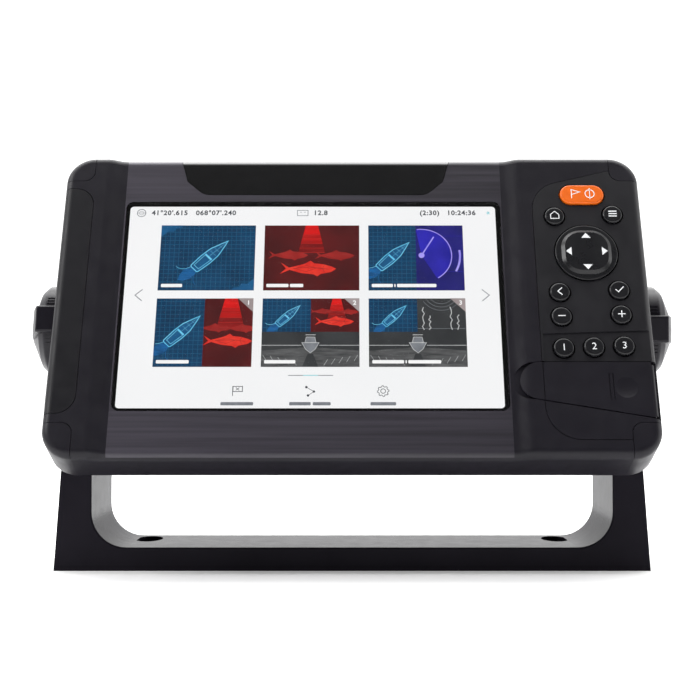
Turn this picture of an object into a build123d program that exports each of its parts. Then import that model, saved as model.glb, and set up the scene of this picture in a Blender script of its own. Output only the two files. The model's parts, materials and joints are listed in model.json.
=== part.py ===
from build123d import *
import math
import os

# Chartplotter display: a 7 inch screen with a keypad at its right, in a head that tilts
# on a U-shaped trunnion bracket. Millimetres, +Z up, +X to the user's right, +Y away from
# the user. The origin is the centre of the bracket's underside, below the tilt axis.
#
# The head is drawn upright in its own frame, whose origin is the middle of the tilt axis,
# with its face towards -Y, and is leaned back as it is written out.

# ---------------------------------------------------------------- driving dimensions
# Screen
active_width = 152.4
active_height = 91.44
glass_border_x = 1.55
glass_border_low = 1.65
glass_border_high = 1.75
glass_thickness = 1.8
glass_corner = 3.0
adhesive_thickness = 0.3
view_margin = 1.0
view_corner = 1.5

# Behind the glass
frame_margin = 6.0
frame_wall = 1.2
frame_floor = 0.8
frame_depth = 6.4
frame_corner = 2.0
lcd_thickness = 2.0
lcd_corner = 1.0
spreader_inset = 2.0
spreader_thickness = 1.5
spreader_corner = 3.0
ribbon_width = 20.0
ribbon_thickness = 0.4
ribbon_below_middle = 29.5
ribbon_hole_margin = 3.0

# Face, from left to right: grip, flank, surround, flank, keypad strip
grip_width = 16.95
flank_width = 8.5
surround_margin = 0.75
keypad_strip = 49.35
strip_below_glass = 20.0
strip_above_glass = 21.35
head_corner = 12.0
grip_rise = 2.0
edge_round = 3.4
rim_depth = 19.0
rim_wall = 3.0
rim_back_round = 1.0
front_wall = 3.5
fascia_thickness = 1.2
brand_thickness = 0.8
cap_thickness = 2.6

# Tilt axis and bracket
pivot_above_head_bottom = 71.25
lean = 24.2
eye_radius = 14.0
eye_to_rim = 0.5
arm_inset = 13.95
arm_thickness = 9.3
arm_slope = 4.0
bracket_depth = 49.6
bracket_edge_round = 0.8
arm_full_depth_height = 39.0
base_thickness = 9.5
base_clearance = 9.58
inner_corner = 14.3
base_hole_spacing = 174.4
base_hole_radius = 2.75
base_hole_y = 8.6
base_recess_width = 11.4
base_recess_length = 21.6
base_recess_depth = 3.0

# Knobs
knob_radius = 18.75
knob_height = 14.25
knob_hub_radius = 12.0
knob_shoulder_radius = 16.4
knob_shoulder_height = 9.65
knob_rim_height = 7.0
knob_crown_radius = 6.2
knob_bar_width = 11.4
knob_bar_proud = 0.6
knob_bar_fall = 4.2
knob_high_round = 1.6
knob_low_round = 0.8
bar_corner_round = 1.2
bar_edge_round = 0.7
bar_above_cone = 0.1
knob_behind_gap = 0.4
socket_depth = 7.0
knob_left_turn = -10.5
knob_right_turn = 24.2
rib_width = 0.6
rib_proud = 0.35
rib_pitch = 4.6
rib_end = 0.8
ribs_beside_bar = 3
stud_radius = 4.0
stud_reach = 9.0
stud_end_gap = 1.5
insert_radius = 7.0
insert_length = 12.0
washer_thickness = 1.5
washer_radius = 12.5

# Main board and what it carries
board_gap = 4.0
board_thickness = 1.6
main_width = 140.0
main_height = 76.0
board_corner = 2.0
board_screw_inset = 5.0
board_hole_radius = 1.7
board_post_radius = 3.0
board_shank_radius = 1.5
board_head_radius = 2.8
board_head_height = 1.8
chip_height = 1.4
shield_height = 3.0
shield_width = 32.0
shield_length = 28.0
shield_left = 20.0
shield_low = 8.0
buzzer_radius = 6.0
buzzer_height = 4.5
buzzer_shift = 52.0
buzzer_rise = 14.0
flat_thickness = 0.3
flat_width = 12.0
flat_low = 8.0
flat_from_keypad = 15.0
flat_from_edge = 6.0
flat_above_board = 1.6
gnss_size = 25.0
gnss_height = 4.0
gnss_front = -8.0
wifi_thickness = 1.2
wifi_length = 20.0
wifi_height = 8.0
wifi_below_top = 18.0

# Rear case
case_height_above_axis = 48.0
case_height_below_axis = 50.0
case_reach = 22.0
case_wall = 2.5
case_corner = 9.0
case_edge_round = 5.0
flange_thickness = 3.0
boss_radius = 12.0
boss_height = 4.0
boss_root = 12.0
insert_wall = 2.5
flange_clear = 0.15
fin_count = 7
fin_top = 36.0
fin_pitch = 4.5
fin_slot = 1.8
fin_depth = 0.8
fin_inset = 22.0
seal_width = 1.8
seal_height = 1.4

# Case screws and the bosses they bite into
screw_from_edge = 2.8
screw_from_top = 6.6
screw_from_bottom = 5.6
screw_boss_radius = 3.3
screw_shank = 1.25
screw_bite = 8.0
screw_hole_depth = 9.0
screw_head_radius = 2.7
screw_head_height = 2.0
screw_slot_width = 0.8
screw_slot_length = 3.8
screw_slot_depth = 1.0
screw_clear = 0.35

# Keys
key_radius = 4.05
key_gap = 0.55
key_proud = 1.1
key_travel = 0.8
key_flange = 0.9
key_flange_thickness = 0.8
key_edge_round = 0.9
key_stem_length = 0.7
stem_radius = 1.6
mat_hole_grow = 0.8
switch_grow = 0.3
keypad_board_thickness = 1.5
waypoint_width = 18.2
waypoint_height = 8.9
dpad_radius = 12.75
dpad_proud = 1.7
dpad_skirt_proud = 0.7
dpad_hub_radius = 4.0
dpad_hub_length = 1.6
dpad_below_face = 0.7
dpad_edge_round = 0.5
spider_gap = 0.5
spider_thickness = 0.8
spider_radius = 3.4
spider_arm_length = 14.0
spider_arm_width = 3.6
spider_arm_corner = 1.5
dpad_switch_reach = 5.5
dpad_mat_hole = 8.6
plateau_foot = 20.4
plateau_top = 17.6
dpad_tilt = 3.0
column_pitch = 12.0
row_slant = 1.9
panel_thickness = 2.0
seat_edge = 0.7
row_lift = 0.1

waypoint_dz = 27.75
home_dz = 17.7
back_dz = -17.85
zoom_dz = -28.9
number_dz = -42.8
keypad_inset = 24.35
panel_reach = 20.85
panel_shoulder_dz = 31.1
panel_top_rise = 0.26
panel_shoulder_radius = 13.3
band_height = 13.6
band_below_keys = 7.6
band_depth = 0.35
band_inset = 1.0
line_drop = 33.6
line_radius = 14.0
line_width = 0.35
line_depth = 0.3

# Inset, corner caps and side pad
brand_top_width = 113.5
brand_knee_width = 107.4
brand_low_width = 93.0
brand_height = 17.85
brand_knee_height = 6.6
brand_radius = 7.0
brand_shift = 0.7
cap_width = 12.0
cap_top_height = 12.15
cap_bottom_height = 14.1
cap_radius = 4.5
pad_width = 12.4
pad_above_bottom = 18.0
pad_below_top = 16.05
pad_radius = 8.0

# Flush-mount holes, through pillars at the corners
flush_hole_radius = 2.1
pillar_radius = 4.6
pillar_from_side = 7.0
pillar_from_end = 6.8
pillar_clear = 0.4

# Card door
door_past_panel = 1.0
door_radius = 8.0
door_centre_above_bottom = 31.95
door_thickness = 1.6
door_slope_drop = 9.0
door_hinge_radius = 1.4
finger_notch = 2.7
hinge_from_side = 2.55
hinge_behind_face = 1.9
hinge_clear = 0.4
swing_depth = 0.6
hinge_short_low = 2.0
hinge_short_high = 1.0
pin_radius = 0.7
groove_width = 0.4
groove_depth = 0.3
groove_shift = 5.0
groove_pitch = 1.5
groove_below = 8.0
groove_above = 3.0
dimple_radius = 20.0
dimple_depth = 0.5
dimple_shift = 11.5
dimple_drop = 3.0

# Card slot, its seal and reader
slot_width = 32.0
slot_height = 7.0
slot_shift = 6.0
slot_drop = 0.5
slot_corner = 1.5
slot_seal_gap = 1.3
slot_seal_width = 1.2
slot_seal_height = 0.8
reader_width = 36.0
reader_height = 11.0
reader_depth = 9.0
card_pitch = 17.0
card_width = 12.0
card_slit = 1.2
card_depth = 7.0

# Connectors on the back
power_collar_radius = 9.0
power_collar_bore = 6.6
sonar_collar_radius = 11.0
sonar_collar_bore = 8.4
collar_length = 12.0
collar_wall = 1.6
socket_floor = 1.0
power_shift = 14.0
sonar_shift = 26.0
inlet_z = -24.0
inlet_inside = 6.0
inlet_hole_inset = 1.5
thread_start = 4.0
thread_width = 1.2
thread_depth = 0.8
index_width = 1.6
index_proud = 0.8
index_sunk = 0.3
pin_ring = 0.55
contact_radius = 0.6
contact_short = 5.5
nut_rim = 1.6
nut_height = 2.6
vent_shift = 50.0
vent_radius = 5.0
vent_height = 1.4
vent_bore = 3.0

# Clearances
moving_gap = 0.3
seam_gap = 0.2
close_gap = 0.05
stud_fit = 0.05
stud_in_arm = 0.6

# ---------------------------------------------------------------- sizes that follow
glass_width = active_width + 2 * glass_border_x
glass_height = active_height + glass_border_low + glass_border_high
surround_width = glass_width + 2 * surround_margin
head_width = grip_width + 2 * flank_width + surround_width + keypad_strip
head_height = strip_below_glass + glass_height + strip_above_glass
half_width = head_width / 2

pivot_depth = rim_depth + eye_radius + eye_to_rim
surround_y = -pivot_depth
grip_y = surround_y - grip_rise
rim_back_y = surround_y + rim_depth
wall_back_y = surround_y + front_wall
head_bottom = -pivot_above_head_bottom
head_top = head_bottom + head_height
head_middle = (head_bottom + head_top) / 2

screen_x = -half_width + grip_width + flank_width + surround_width / 2
glass_bottom = head_bottom + strip_below_glass
glass_z = glass_bottom + glass_height / 2
active_z = glass_bottom + glass_border_low + active_height / 2

pivot_height = base_thickness + math.hypot(pivot_above_head_bottom, grip_y) + base_clearance
arm_inner = half_width - arm_inset
arm_outer = arm_inner + arm_thickness
boss_end = arm_inner - washer_thickness - moving_gap
case_half = boss_end - boss_height

pill_end = waypoint_height / 2 - 0.01
keypad_x = half_width - keypad_inset
panel_left = keypad_x - panel_reach
door_z = head_bottom + door_centre_above_bottom
door_top = door_z + door_radius
panel_bottom = door_top + 2 * seam_gap
number_z = panel_bottom + seat_edge + moving_gap + key_flange + key_radius + row_lift
dpad_z = number_z - number_dz

# Cutting shapes run past the solid they cut by this much
overshoot = 5.0
clear_front = grip_y - overshoot
clear_back = rim_back_y + overshoot
clear_right = half_width + overshoot

LEFT = -1
RIGHT = 1


# ---------------------------------------------------------------- helpers
def slab(outline, y_front, y_back):
    """A flat outline in X and Z, given thickness from y_front to y_back."""
    plane = Plane.XZ.offset(-y_back)
    return extrude(plane * outline, amount=y_back - y_front)


def block(x0, x1, y0, y1, z0, z1):
    """A box between two corners."""
    centre = Pos((x0 + x1) / 2, (y0 + y1) / 2, (z0 + z1) / 2)
    return centre * Box(x1 - x0, y1 - y0, z1 - z0)


def disc(x, z, radius, y_front, y_back):
    """A cylinder along Y."""
    return slab(Pos(x, z) * Circle(radius), y_front, y_back)


def rounded(x, z, width, height, radius):
    """A rounded rectangle in X and Z."""
    return Pos(x, z) * RectangleRounded(width, height, radius)


def along_x(x0, x1, radius, y=0.0, z=0.0):
    """A cylinder along X."""
    turned = Pos((x0 + x1) / 2, y, z) * Rot(0, 90, 0)
    return turned * Cylinder(radius, abs(x1 - x0))


def key_places():
    """Name, x and z of the round keys, whose rows rise slightly to the right."""
    rise = math.tan(math.radians(row_slant))
    rows = [
        ("home_key", -1, home_dz),
        ("menu_key", 1, home_dz),
        ("back_key", -1, back_dz),
        ("ok_key", 1, back_dz),
        ("minus_key", -1, zoom_dz),
        ("plus_key", 1, zoom_dz),
        ("key_1", -1, number_dz),
        ("key_2", 0, number_dz),
        ("key_3", 1, number_dz),
    ]
    places = []
    for name, column, dz in rows:
        dx = column * column_pitch
        places.append((name, keypad_x + dx, dpad_z + dz + dx * rise))
    return places


# ---------------------------------------------------------------- outlines on the face
def panel_outline():
    """Keypad panel: straight left side, a rising top, open to the right edge."""
    reach = clear_right
    corner_z = dpad_z + panel_shoulder_dz
    points = [
        (panel_left, panel_bottom),
        (reach, panel_bottom),
        (reach, corner_z + (reach - panel_left) * panel_top_rise),
        (panel_left, corner_z),
    ]
    face = make_face(Polyline(*points, close=True))
    shoulder = [v for v in face.vertices() if v.X < panel_left + 1 and v.Y > dpad_z]
    return fillet(shoulder, panel_shoulder_radius) - cap_outlines(seam_gap)


def number_band():
    """Shallow band behind keys 1 to 3, out to the right edge."""
    reach = clear_right
    low = dpad_z + number_dz - band_below_keys
    rise = (reach - panel_left) * math.tan(math.radians(row_slant))
    points = [
        (panel_left + band_inset, low),
        (reach, low + rise),
        (reach, low + band_height + rise),
        (panel_left + band_inset, low + band_height),
    ]
    return make_face(Polyline(*points, close=True)) & panel_outline()


def panel_line():
    """Fine line that carries the panel's left edge on across the door and round below it."""
    low = panel_bottom - line_drop
    width = 2 * head_width
    height = 2 * head_height
    middle = Pos(panel_left + width / 2, low + height / 2)
    outer = middle * RectangleRounded(width, height, line_radius)
    inner = middle * RectangleRounded(width - 2 * line_width, height - 2 * line_width,
                                      line_radius - line_width)
    below = Pos(0, panel_bottom - head_height) * Rectangle(2 * head_width, 2 * head_height)
    return (outer - inner) & below


def cap_outline(side, top, grow=0.0):
    """Corner cap: the corner of the face beyond a rounded inner corner."""
    inner_x = half_width - cap_width - grow
    if top:
        z0 = head_top - cap_top_height - grow
        z1 = head_top + overshoot
    else:
        z0 = head_bottom - overshoot
        z1 = head_bottom + cap_bottom_height + grow
    reach = clear_right
    middle = Pos(side * (inner_x + reach) / 2, (z0 + z1) / 2)
    return middle * RectangleRounded(reach - inner_x, z1 - z0, cap_radius)


def cap_outlines(grow=0.0):
    shape = cap_outline(LEFT, True, grow)
    for side, top in ((RIGHT, True), (LEFT, False), (RIGHT, False)):
        shape = shape + cap_outline(side, top, grow)
    return shape


def pad_outline(grow=0.0):
    """Pad let into the left grip, open to the left edge."""
    low = head_bottom + pad_above_bottom - grow
    high = head_top - pad_below_top + grow
    inner = -half_width + pad_width + grow
    outer = -half_width - pad_width
    middle = Pos((inner + outer) / 2, (low + high) / 2)
    return middle * RectangleRounded(inner - outer, high - low, pad_radius)


def brand_outline(grow=0.0):
    """Inset above the screen: a trapezoid with rounded lower corners."""
    low_z = head_top - brand_height
    knee_z = low_z + brand_knee_height
    outer_x = brand_top_width / 2
    knee_x = brand_knee_width / 2
    low_x = brand_low_width / 2
    points = [
        (-outer_x, head_top + overshoot),
        (-outer_x, head_top),
        (-knee_x, knee_z),
        (-low_x, low_z),
        (low_x, low_z),
        (knee_x, knee_z),
        (outer_x, head_top),
        (outer_x, head_top + overshoot),
    ]
    face = make_face(Polyline(*points, close=True))
    low_corners = face.vertices().sort_by(Axis.Y)[0:2]
    face = fillet(low_corners, brand_radius)
    if grow:
        face = offset(face, amount=grow)
    return Pos(screen_x + brand_shift, 0) * face


def door_outline():
    """Card door: a round left end, a level top and a sloping lower edge."""
    centre_x = panel_left - door_past_panel
    points = [
        (centre_x, door_z + door_radius),
        (clear_right, door_z + door_radius),
        (clear_right, door_z - door_radius - door_slope_drop),
        (centre_x, door_z - door_radius),
    ]
    return Pos(centre_x, door_z) * Circle(door_radius) + make_face(Polyline(*points, close=True))


def door_recess_outline():
    """The door's seat, longer at its left end for a fingernail."""
    shape = offset(door_outline(), amount=moving_gap)
    return shape + Pos(-finger_notch, 0) * door_outline()


# ---------------------------------------------------------------- the head's outer form
def outer_form():
    """Closed block of the whole front: grips stand proud of the surround by S-shaped flanks."""
    left_in = screen_x - surround_width / 2
    right_in = screen_x + surround_width / 2
    left_out = left_in - flank_width
    right_out = right_in + flank_width
    level = (1, 0)
    lines = [
        Line((-half_width, grip_y), (left_out, grip_y)),
        Spline((left_out, grip_y), (left_in, surround_y), tangents=(level, level)),
        Line((left_in, surround_y), (right_in, surround_y)),
        Spline((right_in, surround_y), (right_out, grip_y), tangents=(level, level)),
        Line((right_out, grip_y), (half_width, grip_y)),
        Line((half_width, grip_y), (half_width, rim_back_y)),
        Line((half_width, rim_back_y), (-half_width, rim_back_y)),
        Line((-half_width, rim_back_y), (-half_width, grip_y)),
    ]
    section = make_face(Wire([edge for line in lines for edge in line.edges()]))
    form = Pos(0, 0, head_bottom) * extrude(section, amount=head_height)
    corners = form.edges().filter_by(Axis.Y)
    form = fillet(corners, head_corner)
    front = []
    for edge in form.edges():
        box = edge.bounding_box()
        rises = box.max.Z - box.min.Z > head_height / 2
        inside = abs(edge.center().X) < half_width - 1
        if box.max.Y < surround_y + 0.1 and not (rises and inside):
            front.append(edge)
    form = fillet(front, edge_round)
    back = form.faces().sort_by(Axis.Y)[-1].edges()
    return fillet(back, rim_back_round)


form = outer_form()
parts = {}


def skin(outline, y_back):
    """The front layer of the head's form, inside an outline and down to y_back."""
    return form & slab(outline, clear_front, y_back)


# ---------------------------------------------------------------- surface pieces
cap_back = grip_y + cap_thickness
panel_back = grip_y + panel_thickness
fascia_back = surround_y + fascia_thickness
brand_back = surround_y + brand_thickness

window = rounded(screen_x, glass_z, glass_width + 2 * seam_gap, glass_height + 2 * seam_gap,
                 glass_corner + seam_gap)
fascia_area = Pos(screen_x, head_middle) * Rectangle(surround_width, head_height + 10)


def fascia():
    """Brushed sheet over the surround, with the window and the inset cut out."""
    piece = skin(fascia_area - window, fascia_back)
    return piece - slab(brand_outline(seam_gap), clear_front, brand_back)


def corner_caps():
    for side, side_name in ((LEFT, "left"), (RIGHT, "right")):
        for top, level_name in ((True, "top"), (False, "bottom")):
            name = "corner_cap_" + level_name + "_" + side_name
            parts[name] = skin(cap_outline(side, top), cap_back)


def screw_pillars():
    """Places of the four flush-mount holes, below the corner caps."""
    return [
        (side * (half_width - pillar_from_side), z)
        for side in (LEFT, RIGHT)
        for z in (head_top - pillar_from_end, head_bottom + pillar_from_end)
    ]


def keypad_panel():
    """Panel with a hole for each key and a shallow band behind keys 1 to 3."""
    panel = skin(panel_outline(), panel_back)
    panel = panel - slab(number_band(), clear_front, grip_y + band_depth)
    for name, x, z in key_places():
        panel = panel - disc(x, z, key_radius + key_gap, clear_front, panel_back + 5)
    pill = rounded(keypad_x, dpad_z + waypoint_dz, waypoint_width + 2 * key_gap,
                   waypoint_height + 2 * key_gap, pill_end + key_gap)
    panel = panel - slab(pill, clear_front, panel_back + 5)
    return panel - disc(keypad_x, dpad_z, dpad_radius + key_gap, clear_front, panel_back + 5)


def inside_rim(gap):
    """Area that stops short of the rim's right wall by a gap."""
    limit = half_width - rim_wall - gap
    return Pos(limit - head_width / 4, dpad_z) * Rectangle(head_width / 2, 2 * head_height)


def panel_seat():
    """Opening in the bezel behind the panel, which rests on the edge left round it."""
    inset = offset(panel_outline(), amount=-seat_edge)
    return inset & inside_rim(0.7)


# ---------------------------------------------------------------- card door
hinge_x = half_width - hinge_from_side
hinge_y = grip_y + hinge_behind_face
door_back = grip_y + door_thickness
recess_back = door_back + moving_gap
slot_x = keypad_x - slot_shift
slot_z = door_z - slot_drop
hinge_low = door_z - door_radius - door_slope_drop + hinge_short_low
hinge_high = door_top - hinge_short_high


def hinge_barrel(radius, z0, z1):
    return Pos(hinge_x, hinge_y, (z0 + z1) / 2) * Cylinder(radius, z1 - z0)


def card_door():
    """Door plate with two fine grooves, a shallow dimple and the barrel it turns on."""
    reach = block(-half_width, hinge_x, clear_front, door_back, head_bottom, head_top)
    door = skin(door_outline(), door_back) & reach
    for shift in (0.0, groove_pitch):
        x = keypad_x + groove_shift + shift
        door = door - block(x - groove_width / 2, x + groove_width / 2, clear_front,
                            grip_y + groove_depth, door_z - groove_below, door_z + groove_above)
    dimple = Pos(keypad_x + dimple_shift, grip_y + dimple_depth - dimple_radius,
                 door_z - dimple_drop) * Sphere(dimple_radius)
    door = door - dimple - slab(panel_line(), clear_front, grip_y + line_depth)
    door = door + hinge_barrel(door_hinge_radius, hinge_low, hinge_high)
    return door - hinge_barrel(pin_radius + close_gap, hinge_low - 1, hinge_high + 1)


def door_space():
    """Everything cut from the bezel so that the door can close and swing."""
    space = slab(door_recess_outline(), clear_front, recess_back)
    barrel = hinge_barrel(door_hinge_radius + hinge_clear, hinge_low - moving_gap,
                          hinge_high + moving_gap)
    right = block(hinge_x - door_hinge_radius, clear_right, clear_front, hinge_y + swing_depth,
                  hinge_low - hinge_short_high, door_top + moving_gap)
    return space + barrel + right


def door_seal():
    """Rubber ring let into the floor of the door's recess."""
    rings = []
    for grow in (slot_seal_gap + slot_seal_width, slot_seal_gap):
        rings.append(rounded(slot_x, slot_z, slot_width + 2 * grow, slot_height + 2 * grow,
                             slot_corner + grow / 2))
    return slab(rings[0] - rings[1], recess_back, recess_back + slot_seal_height)


def card_reader():
    """Reader for two memory cards, facing the slot in the bezel."""
    reader = block(slot_x - reader_width / 2, slot_x + reader_width / 2,
                   wall_back_y, wall_back_y + reader_depth,
                   slot_z - reader_height / 2, slot_z + reader_height / 2)
    for side in (LEFT, RIGHT):
        x = slot_x + side * card_pitch / 2
        reader = reader - block(x - card_width / 2, x + card_width / 2,
                                wall_back_y - 1, wall_back_y + card_depth,
                                slot_z - card_slit / 2, slot_z + card_slit / 2)
    return reader


# ---------------------------------------------------------------- bezel
screw_spread = active_width / 2 - screw_from_edge
case_screw_places = [
    (screen_x + dx, z)
    for dx in (-screw_spread, 0.0, screw_spread)
    for z in (head_top - rim_wall - screw_from_top, head_bottom + rim_wall + screw_from_bottom)
]


def front_bezel():
    """Moulded front: outer form, hollow behind, with a seat for each surface piece."""
    bezel = form
    inside = rounded(0, head_middle, head_width - 2 * rim_wall, head_height - 2 * rim_wall,
                     head_corner - rim_wall)
    bezel = bezel - slab(inside, wall_back_y, clear_back)
    for x, z in screw_pillars():
        bezel = bezel + disc(x, z, pillar_radius, cap_back, rim_back_y)
    for x, z in case_screw_places:
        bezel = bezel + disc(x, z, screw_boss_radius, wall_back_y, flange_front_y)
    bezel = bezel - slab(fascia_area, clear_front, fascia_back)
    bezel = bezel - slab(window, clear_front, surround_y + glass_thickness + adhesive_thickness)
    view = rounded(screen_x, active_z, active_width + view_margin, active_height + view_margin,
                   view_corner)
    bezel = bezel - slab(view, clear_front, wall_back_y + 1)
    bezel = bezel - slab(cap_outlines(seam_gap), clear_front, cap_back)
    bezel = bezel - slab(pad_outline(seam_gap), clear_front, cap_back)
    bezel = bezel - slab(offset(panel_outline(), amount=seam_gap), clear_front, panel_back)
    bezel = bezel - slab(panel_seat(), clear_front, wall_back_y + 1)
    bezel = bezel - door_space()
    bezel = bezel - slab(panel_line() - cap_outlines(), clear_front, grip_y + line_depth)
    slot = rounded(slot_x, slot_z, slot_width, slot_height, slot_corner)
    bezel = bezel - slab(slot, clear_front, wall_back_y + 1)
    bezel = bezel - door_seal()
    for x, z in screw_pillars():
        bezel = bezel - disc(x, z, flush_hole_radius, clear_front, clear_back)
    for x, z in case_screw_places:
        bezel = bezel - disc(x, z, screw_shank + close_gap, flange_front_y - screw_hole_depth,
                             clear_back)
    return bezel


# ---------------------------------------------------------------- keys
key_front = grip_y - key_proud
flange_front = panel_back + moving_gap
flange_back = flange_front + key_flange_thickness
stem_back = flange_back + key_stem_length
mat_front = flange_back + key_travel + moving_gap
board_front = wall_back_y
switch_height = board_front - stem_back - key_travel - moving_gap


def round_key(x, z):
    """Domed cap, retaining flange and stem."""
    cap = disc(x, z, key_radius, key_front, flange_front)
    cap = fillet(cap.edges().sort_by(Axis.Y)[0], key_edge_round)
    flange = disc(x, z, key_radius + key_flange, flange_front, flange_back)
    return cap + flange + disc(x, z, stem_radius, flange_back, stem_back)


def waypoint_key():
    """Wide pill-shaped key with the same flange and stem."""
    z = dpad_z + waypoint_dz
    pill = rounded(keypad_x, z, waypoint_width, waypoint_height, pill_end)
    cap = slab(pill, key_front, flange_front)
    cap = fillet(cap.faces().sort_by(Axis.Y)[0].edges(), key_edge_round)
    wide = rounded(keypad_x, z, waypoint_width + 2 * key_flange, waypoint_height + 2 * key_flange,
                   pill_end + key_flange)
    return cap + slab(wide, flange_front, flange_back) + disc(keypad_x, z, stem_radius,
                                                              flange_back, stem_back)


dpad_front = grip_y - dpad_proud
dpad_back = grip_y + dpad_below_face
hub_back = dpad_back + dpad_hub_length
spider_front = hub_back + spider_gap
spider_back = spider_front + spider_thickness


def dpad():
    """Round four-way pad: a disc with a raised plateau and a hub behind."""
    skirt_y = grip_y - dpad_skirt_proud
    pad = disc(keypad_x, dpad_z, dpad_radius, skirt_y, dpad_back)
    pad = fillet(pad.edges().sort_by(Axis.Y)[0], dpad_edge_round)
    outlines = []
    for y, side, radius in ((skirt_y, plateau_foot, plateau_foot / 2.5),
                            (dpad_front, plateau_top, plateau_top / 2.6)):
        outline = Pos(keypad_x, dpad_z) * RectangleRounded(side, side, radius)
        outlines.append(Plane.XZ.offset(-y) * outline)
    plateau = loft(outlines)
    return pad + plateau + disc(keypad_x, dpad_z, dpad_hub_radius, dpad_back, hub_back)


def dpad_spider():
    """Four-armed rocker between the pad and its switches."""
    arms = disc(keypad_x, dpad_z, spider_radius, spider_front, spider_back)
    bar = RectangleRounded(spider_arm_length, spider_arm_width, spider_arm_corner)
    for turn in (0, 90):
        arm = Pos(keypad_x, dpad_z) * Rot(0, 0, turn) * bar
        arms = arms + slab(arm, spider_front, spider_back)
    return arms


def switch_places():
    places = [(x, z) for name, x, z in key_places()]
    places.append((keypad_x, dpad_z + waypoint_dz))
    for dx, dz in ((1, 0), (-1, 0), (0, 1), (0, -1)):
        places.append((keypad_x + dx * dpad_switch_reach, dpad_z + dz * dpad_switch_reach))
    return places


def keypad_mat():
    """Silicone mat behind the panel, with a hole for each switch."""
    mat = slab(offset(panel_seat(), amount=-moving_gap), mat_front, board_front)
    for x, z in switch_places():
        mat = mat - disc(x, z, stem_radius + mat_hole_grow, mat_front - 1, board_front + 1)
    return mat - disc(keypad_x, dpad_z, dpad_mat_hole, mat_front - 1, board_front + 1)


def keypad_board():
    """Circuit board that closes the keypad opening from behind."""
    outline = offset(panel_seat(), amount=1.0)
    outline = outline & inside_rim(moving_gap)
    board = slab(outline, board_front, board_front + keypad_board_thickness)
    for x, z in screw_pillars():
        board = board - disc(x, z, pillar_radius + pillar_clear, board_front - 1, board_front + 5)
    return board


def key_switches():
    switches = [
        disc(x, z, stem_radius + switch_grow, board_front - switch_height, board_front)
        for x, z in switch_places()
    ]
    return Compound(switches)


# ---------------------------------------------------------------- screen stack
spreader_back_y = wall_back_y + frame_depth + spreader_thickness


def screen_pieces():
    front = surround_y
    outline = rounded(screen_x, glass_z, glass_width, glass_height, glass_corner)
    glass_back = front + glass_thickness
    parts["cover_glass"] = slab(outline, front, glass_back)
    inner = rounded(screen_x, active_z, active_width + view_margin, active_height + view_margin,
                    view_corner)
    parts["glass_gasket"] = slab(outline - inner, glass_back, glass_back + adhesive_thickness)
    width = active_width + 2 * frame_margin
    height = active_height + 2 * frame_margin
    frame_front = wall_back_y
    frame_back = frame_front + frame_depth
    shell = rounded(screen_x, active_z, width, height, frame_corner)
    hollow = rounded(screen_x, active_z, width - 2 * frame_wall, height - 2 * frame_wall,
                     lcd_corner)
    can = slab(shell, frame_front, frame_back)
    parts["lcd_frame"] = can - slab(hollow, frame_front - 1, frame_back - frame_floor)
    lcd_back = frame_front + lcd_thickness
    snug_wall = frame_wall + 2 * close_gap
    snug = rounded(screen_x, active_z, width - 2 * snug_wall, height - 2 * snug_wall, lcd_corner)
    parts["lcd_panel"] = slab(snug, frame_front, lcd_back)
    parts["lcd_backlight"] = slab(snug, lcd_back, frame_back - frame_floor)
    spreader = rounded(screen_x, active_z, width - 2 * spreader_inset,
                       height - 2 * spreader_inset, spreader_corner)
    half_gap = ribbon_width / 2 + ribbon_hole_margin
    gap_z = active_z - ribbon_below_middle
    ribbon_gap = block(screen_x - half_gap, screen_x + half_gap, frame_back - 1,
                       spreader_back_y + 1, gap_z - ribbon_hole_margin / 2,
                       gap_z + ribbon_hole_margin / 2)
    parts["heat_spreader"] = slab(spreader, frame_back, spreader_back_y) - ribbon_gap


# ---------------------------------------------------------------- electronics
main_front = spreader_back_y + board_gap
main_back = main_front + board_thickness
main_z = (case_height_above_axis - case_height_below_axis) / 2


def board_corners():
    dx = main_width / 2 - board_screw_inset
    dz = main_height / 2 - board_screw_inset
    return [(screen_x + sx * dx, main_z + sz * dz) for sx in (-1, 1) for sz in (-1, 1)]


def main_board():
    """Main board with its chips, shield, buzzer and the screws on their posts."""
    board = rounded(screen_x, main_z, main_width, main_height, board_corner)
    board = slab(board, main_front, main_back)
    for x, z in board_corners():
        board = board - disc(x, z, board_hole_radius, main_front - 1, main_back + 1)
    parts["main_board"] = board
    chips = []
    for dx, dz, wide, tall in ((-45, 20, 12, 12), (-45, -5, 10, 14), (30, 22, 14, 9),
                               (48, -8, 8, 8), (25, -18, 18, 7), (-12, -22, 11, 8)):
        x = screen_x + dx
        z = main_z + dz
        chips.append(block(x - wide / 2, x + wide / 2, main_back, main_back + chip_height,
                           z - tall / 2, z + tall / 2))
    parts["board_chips"] = Compound(chips)
    left = screen_x - shield_left
    low = main_z - shield_low
    parts["processor_shield"] = block(left, left + shield_width, main_back,
                                      main_back + shield_height, low, low + shield_length)
    parts["buzzer"] = disc(screen_x + buzzer_shift, main_z + buzzer_rise, buzzer_radius,
                           main_back, main_back + buzzer_height)
    screws = []
    for x, z in board_corners():
        post = disc(x, z, board_post_radius, spreader_back_y, main_front)
        shank = disc(x, z, board_shank_radius, main_front, main_back)
        head = disc(x, z, board_head_radius, main_back, main_back + board_head_height)
        screws.append(post + shank + head)
    parts["board_screws"] = Compound(screws)


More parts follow.
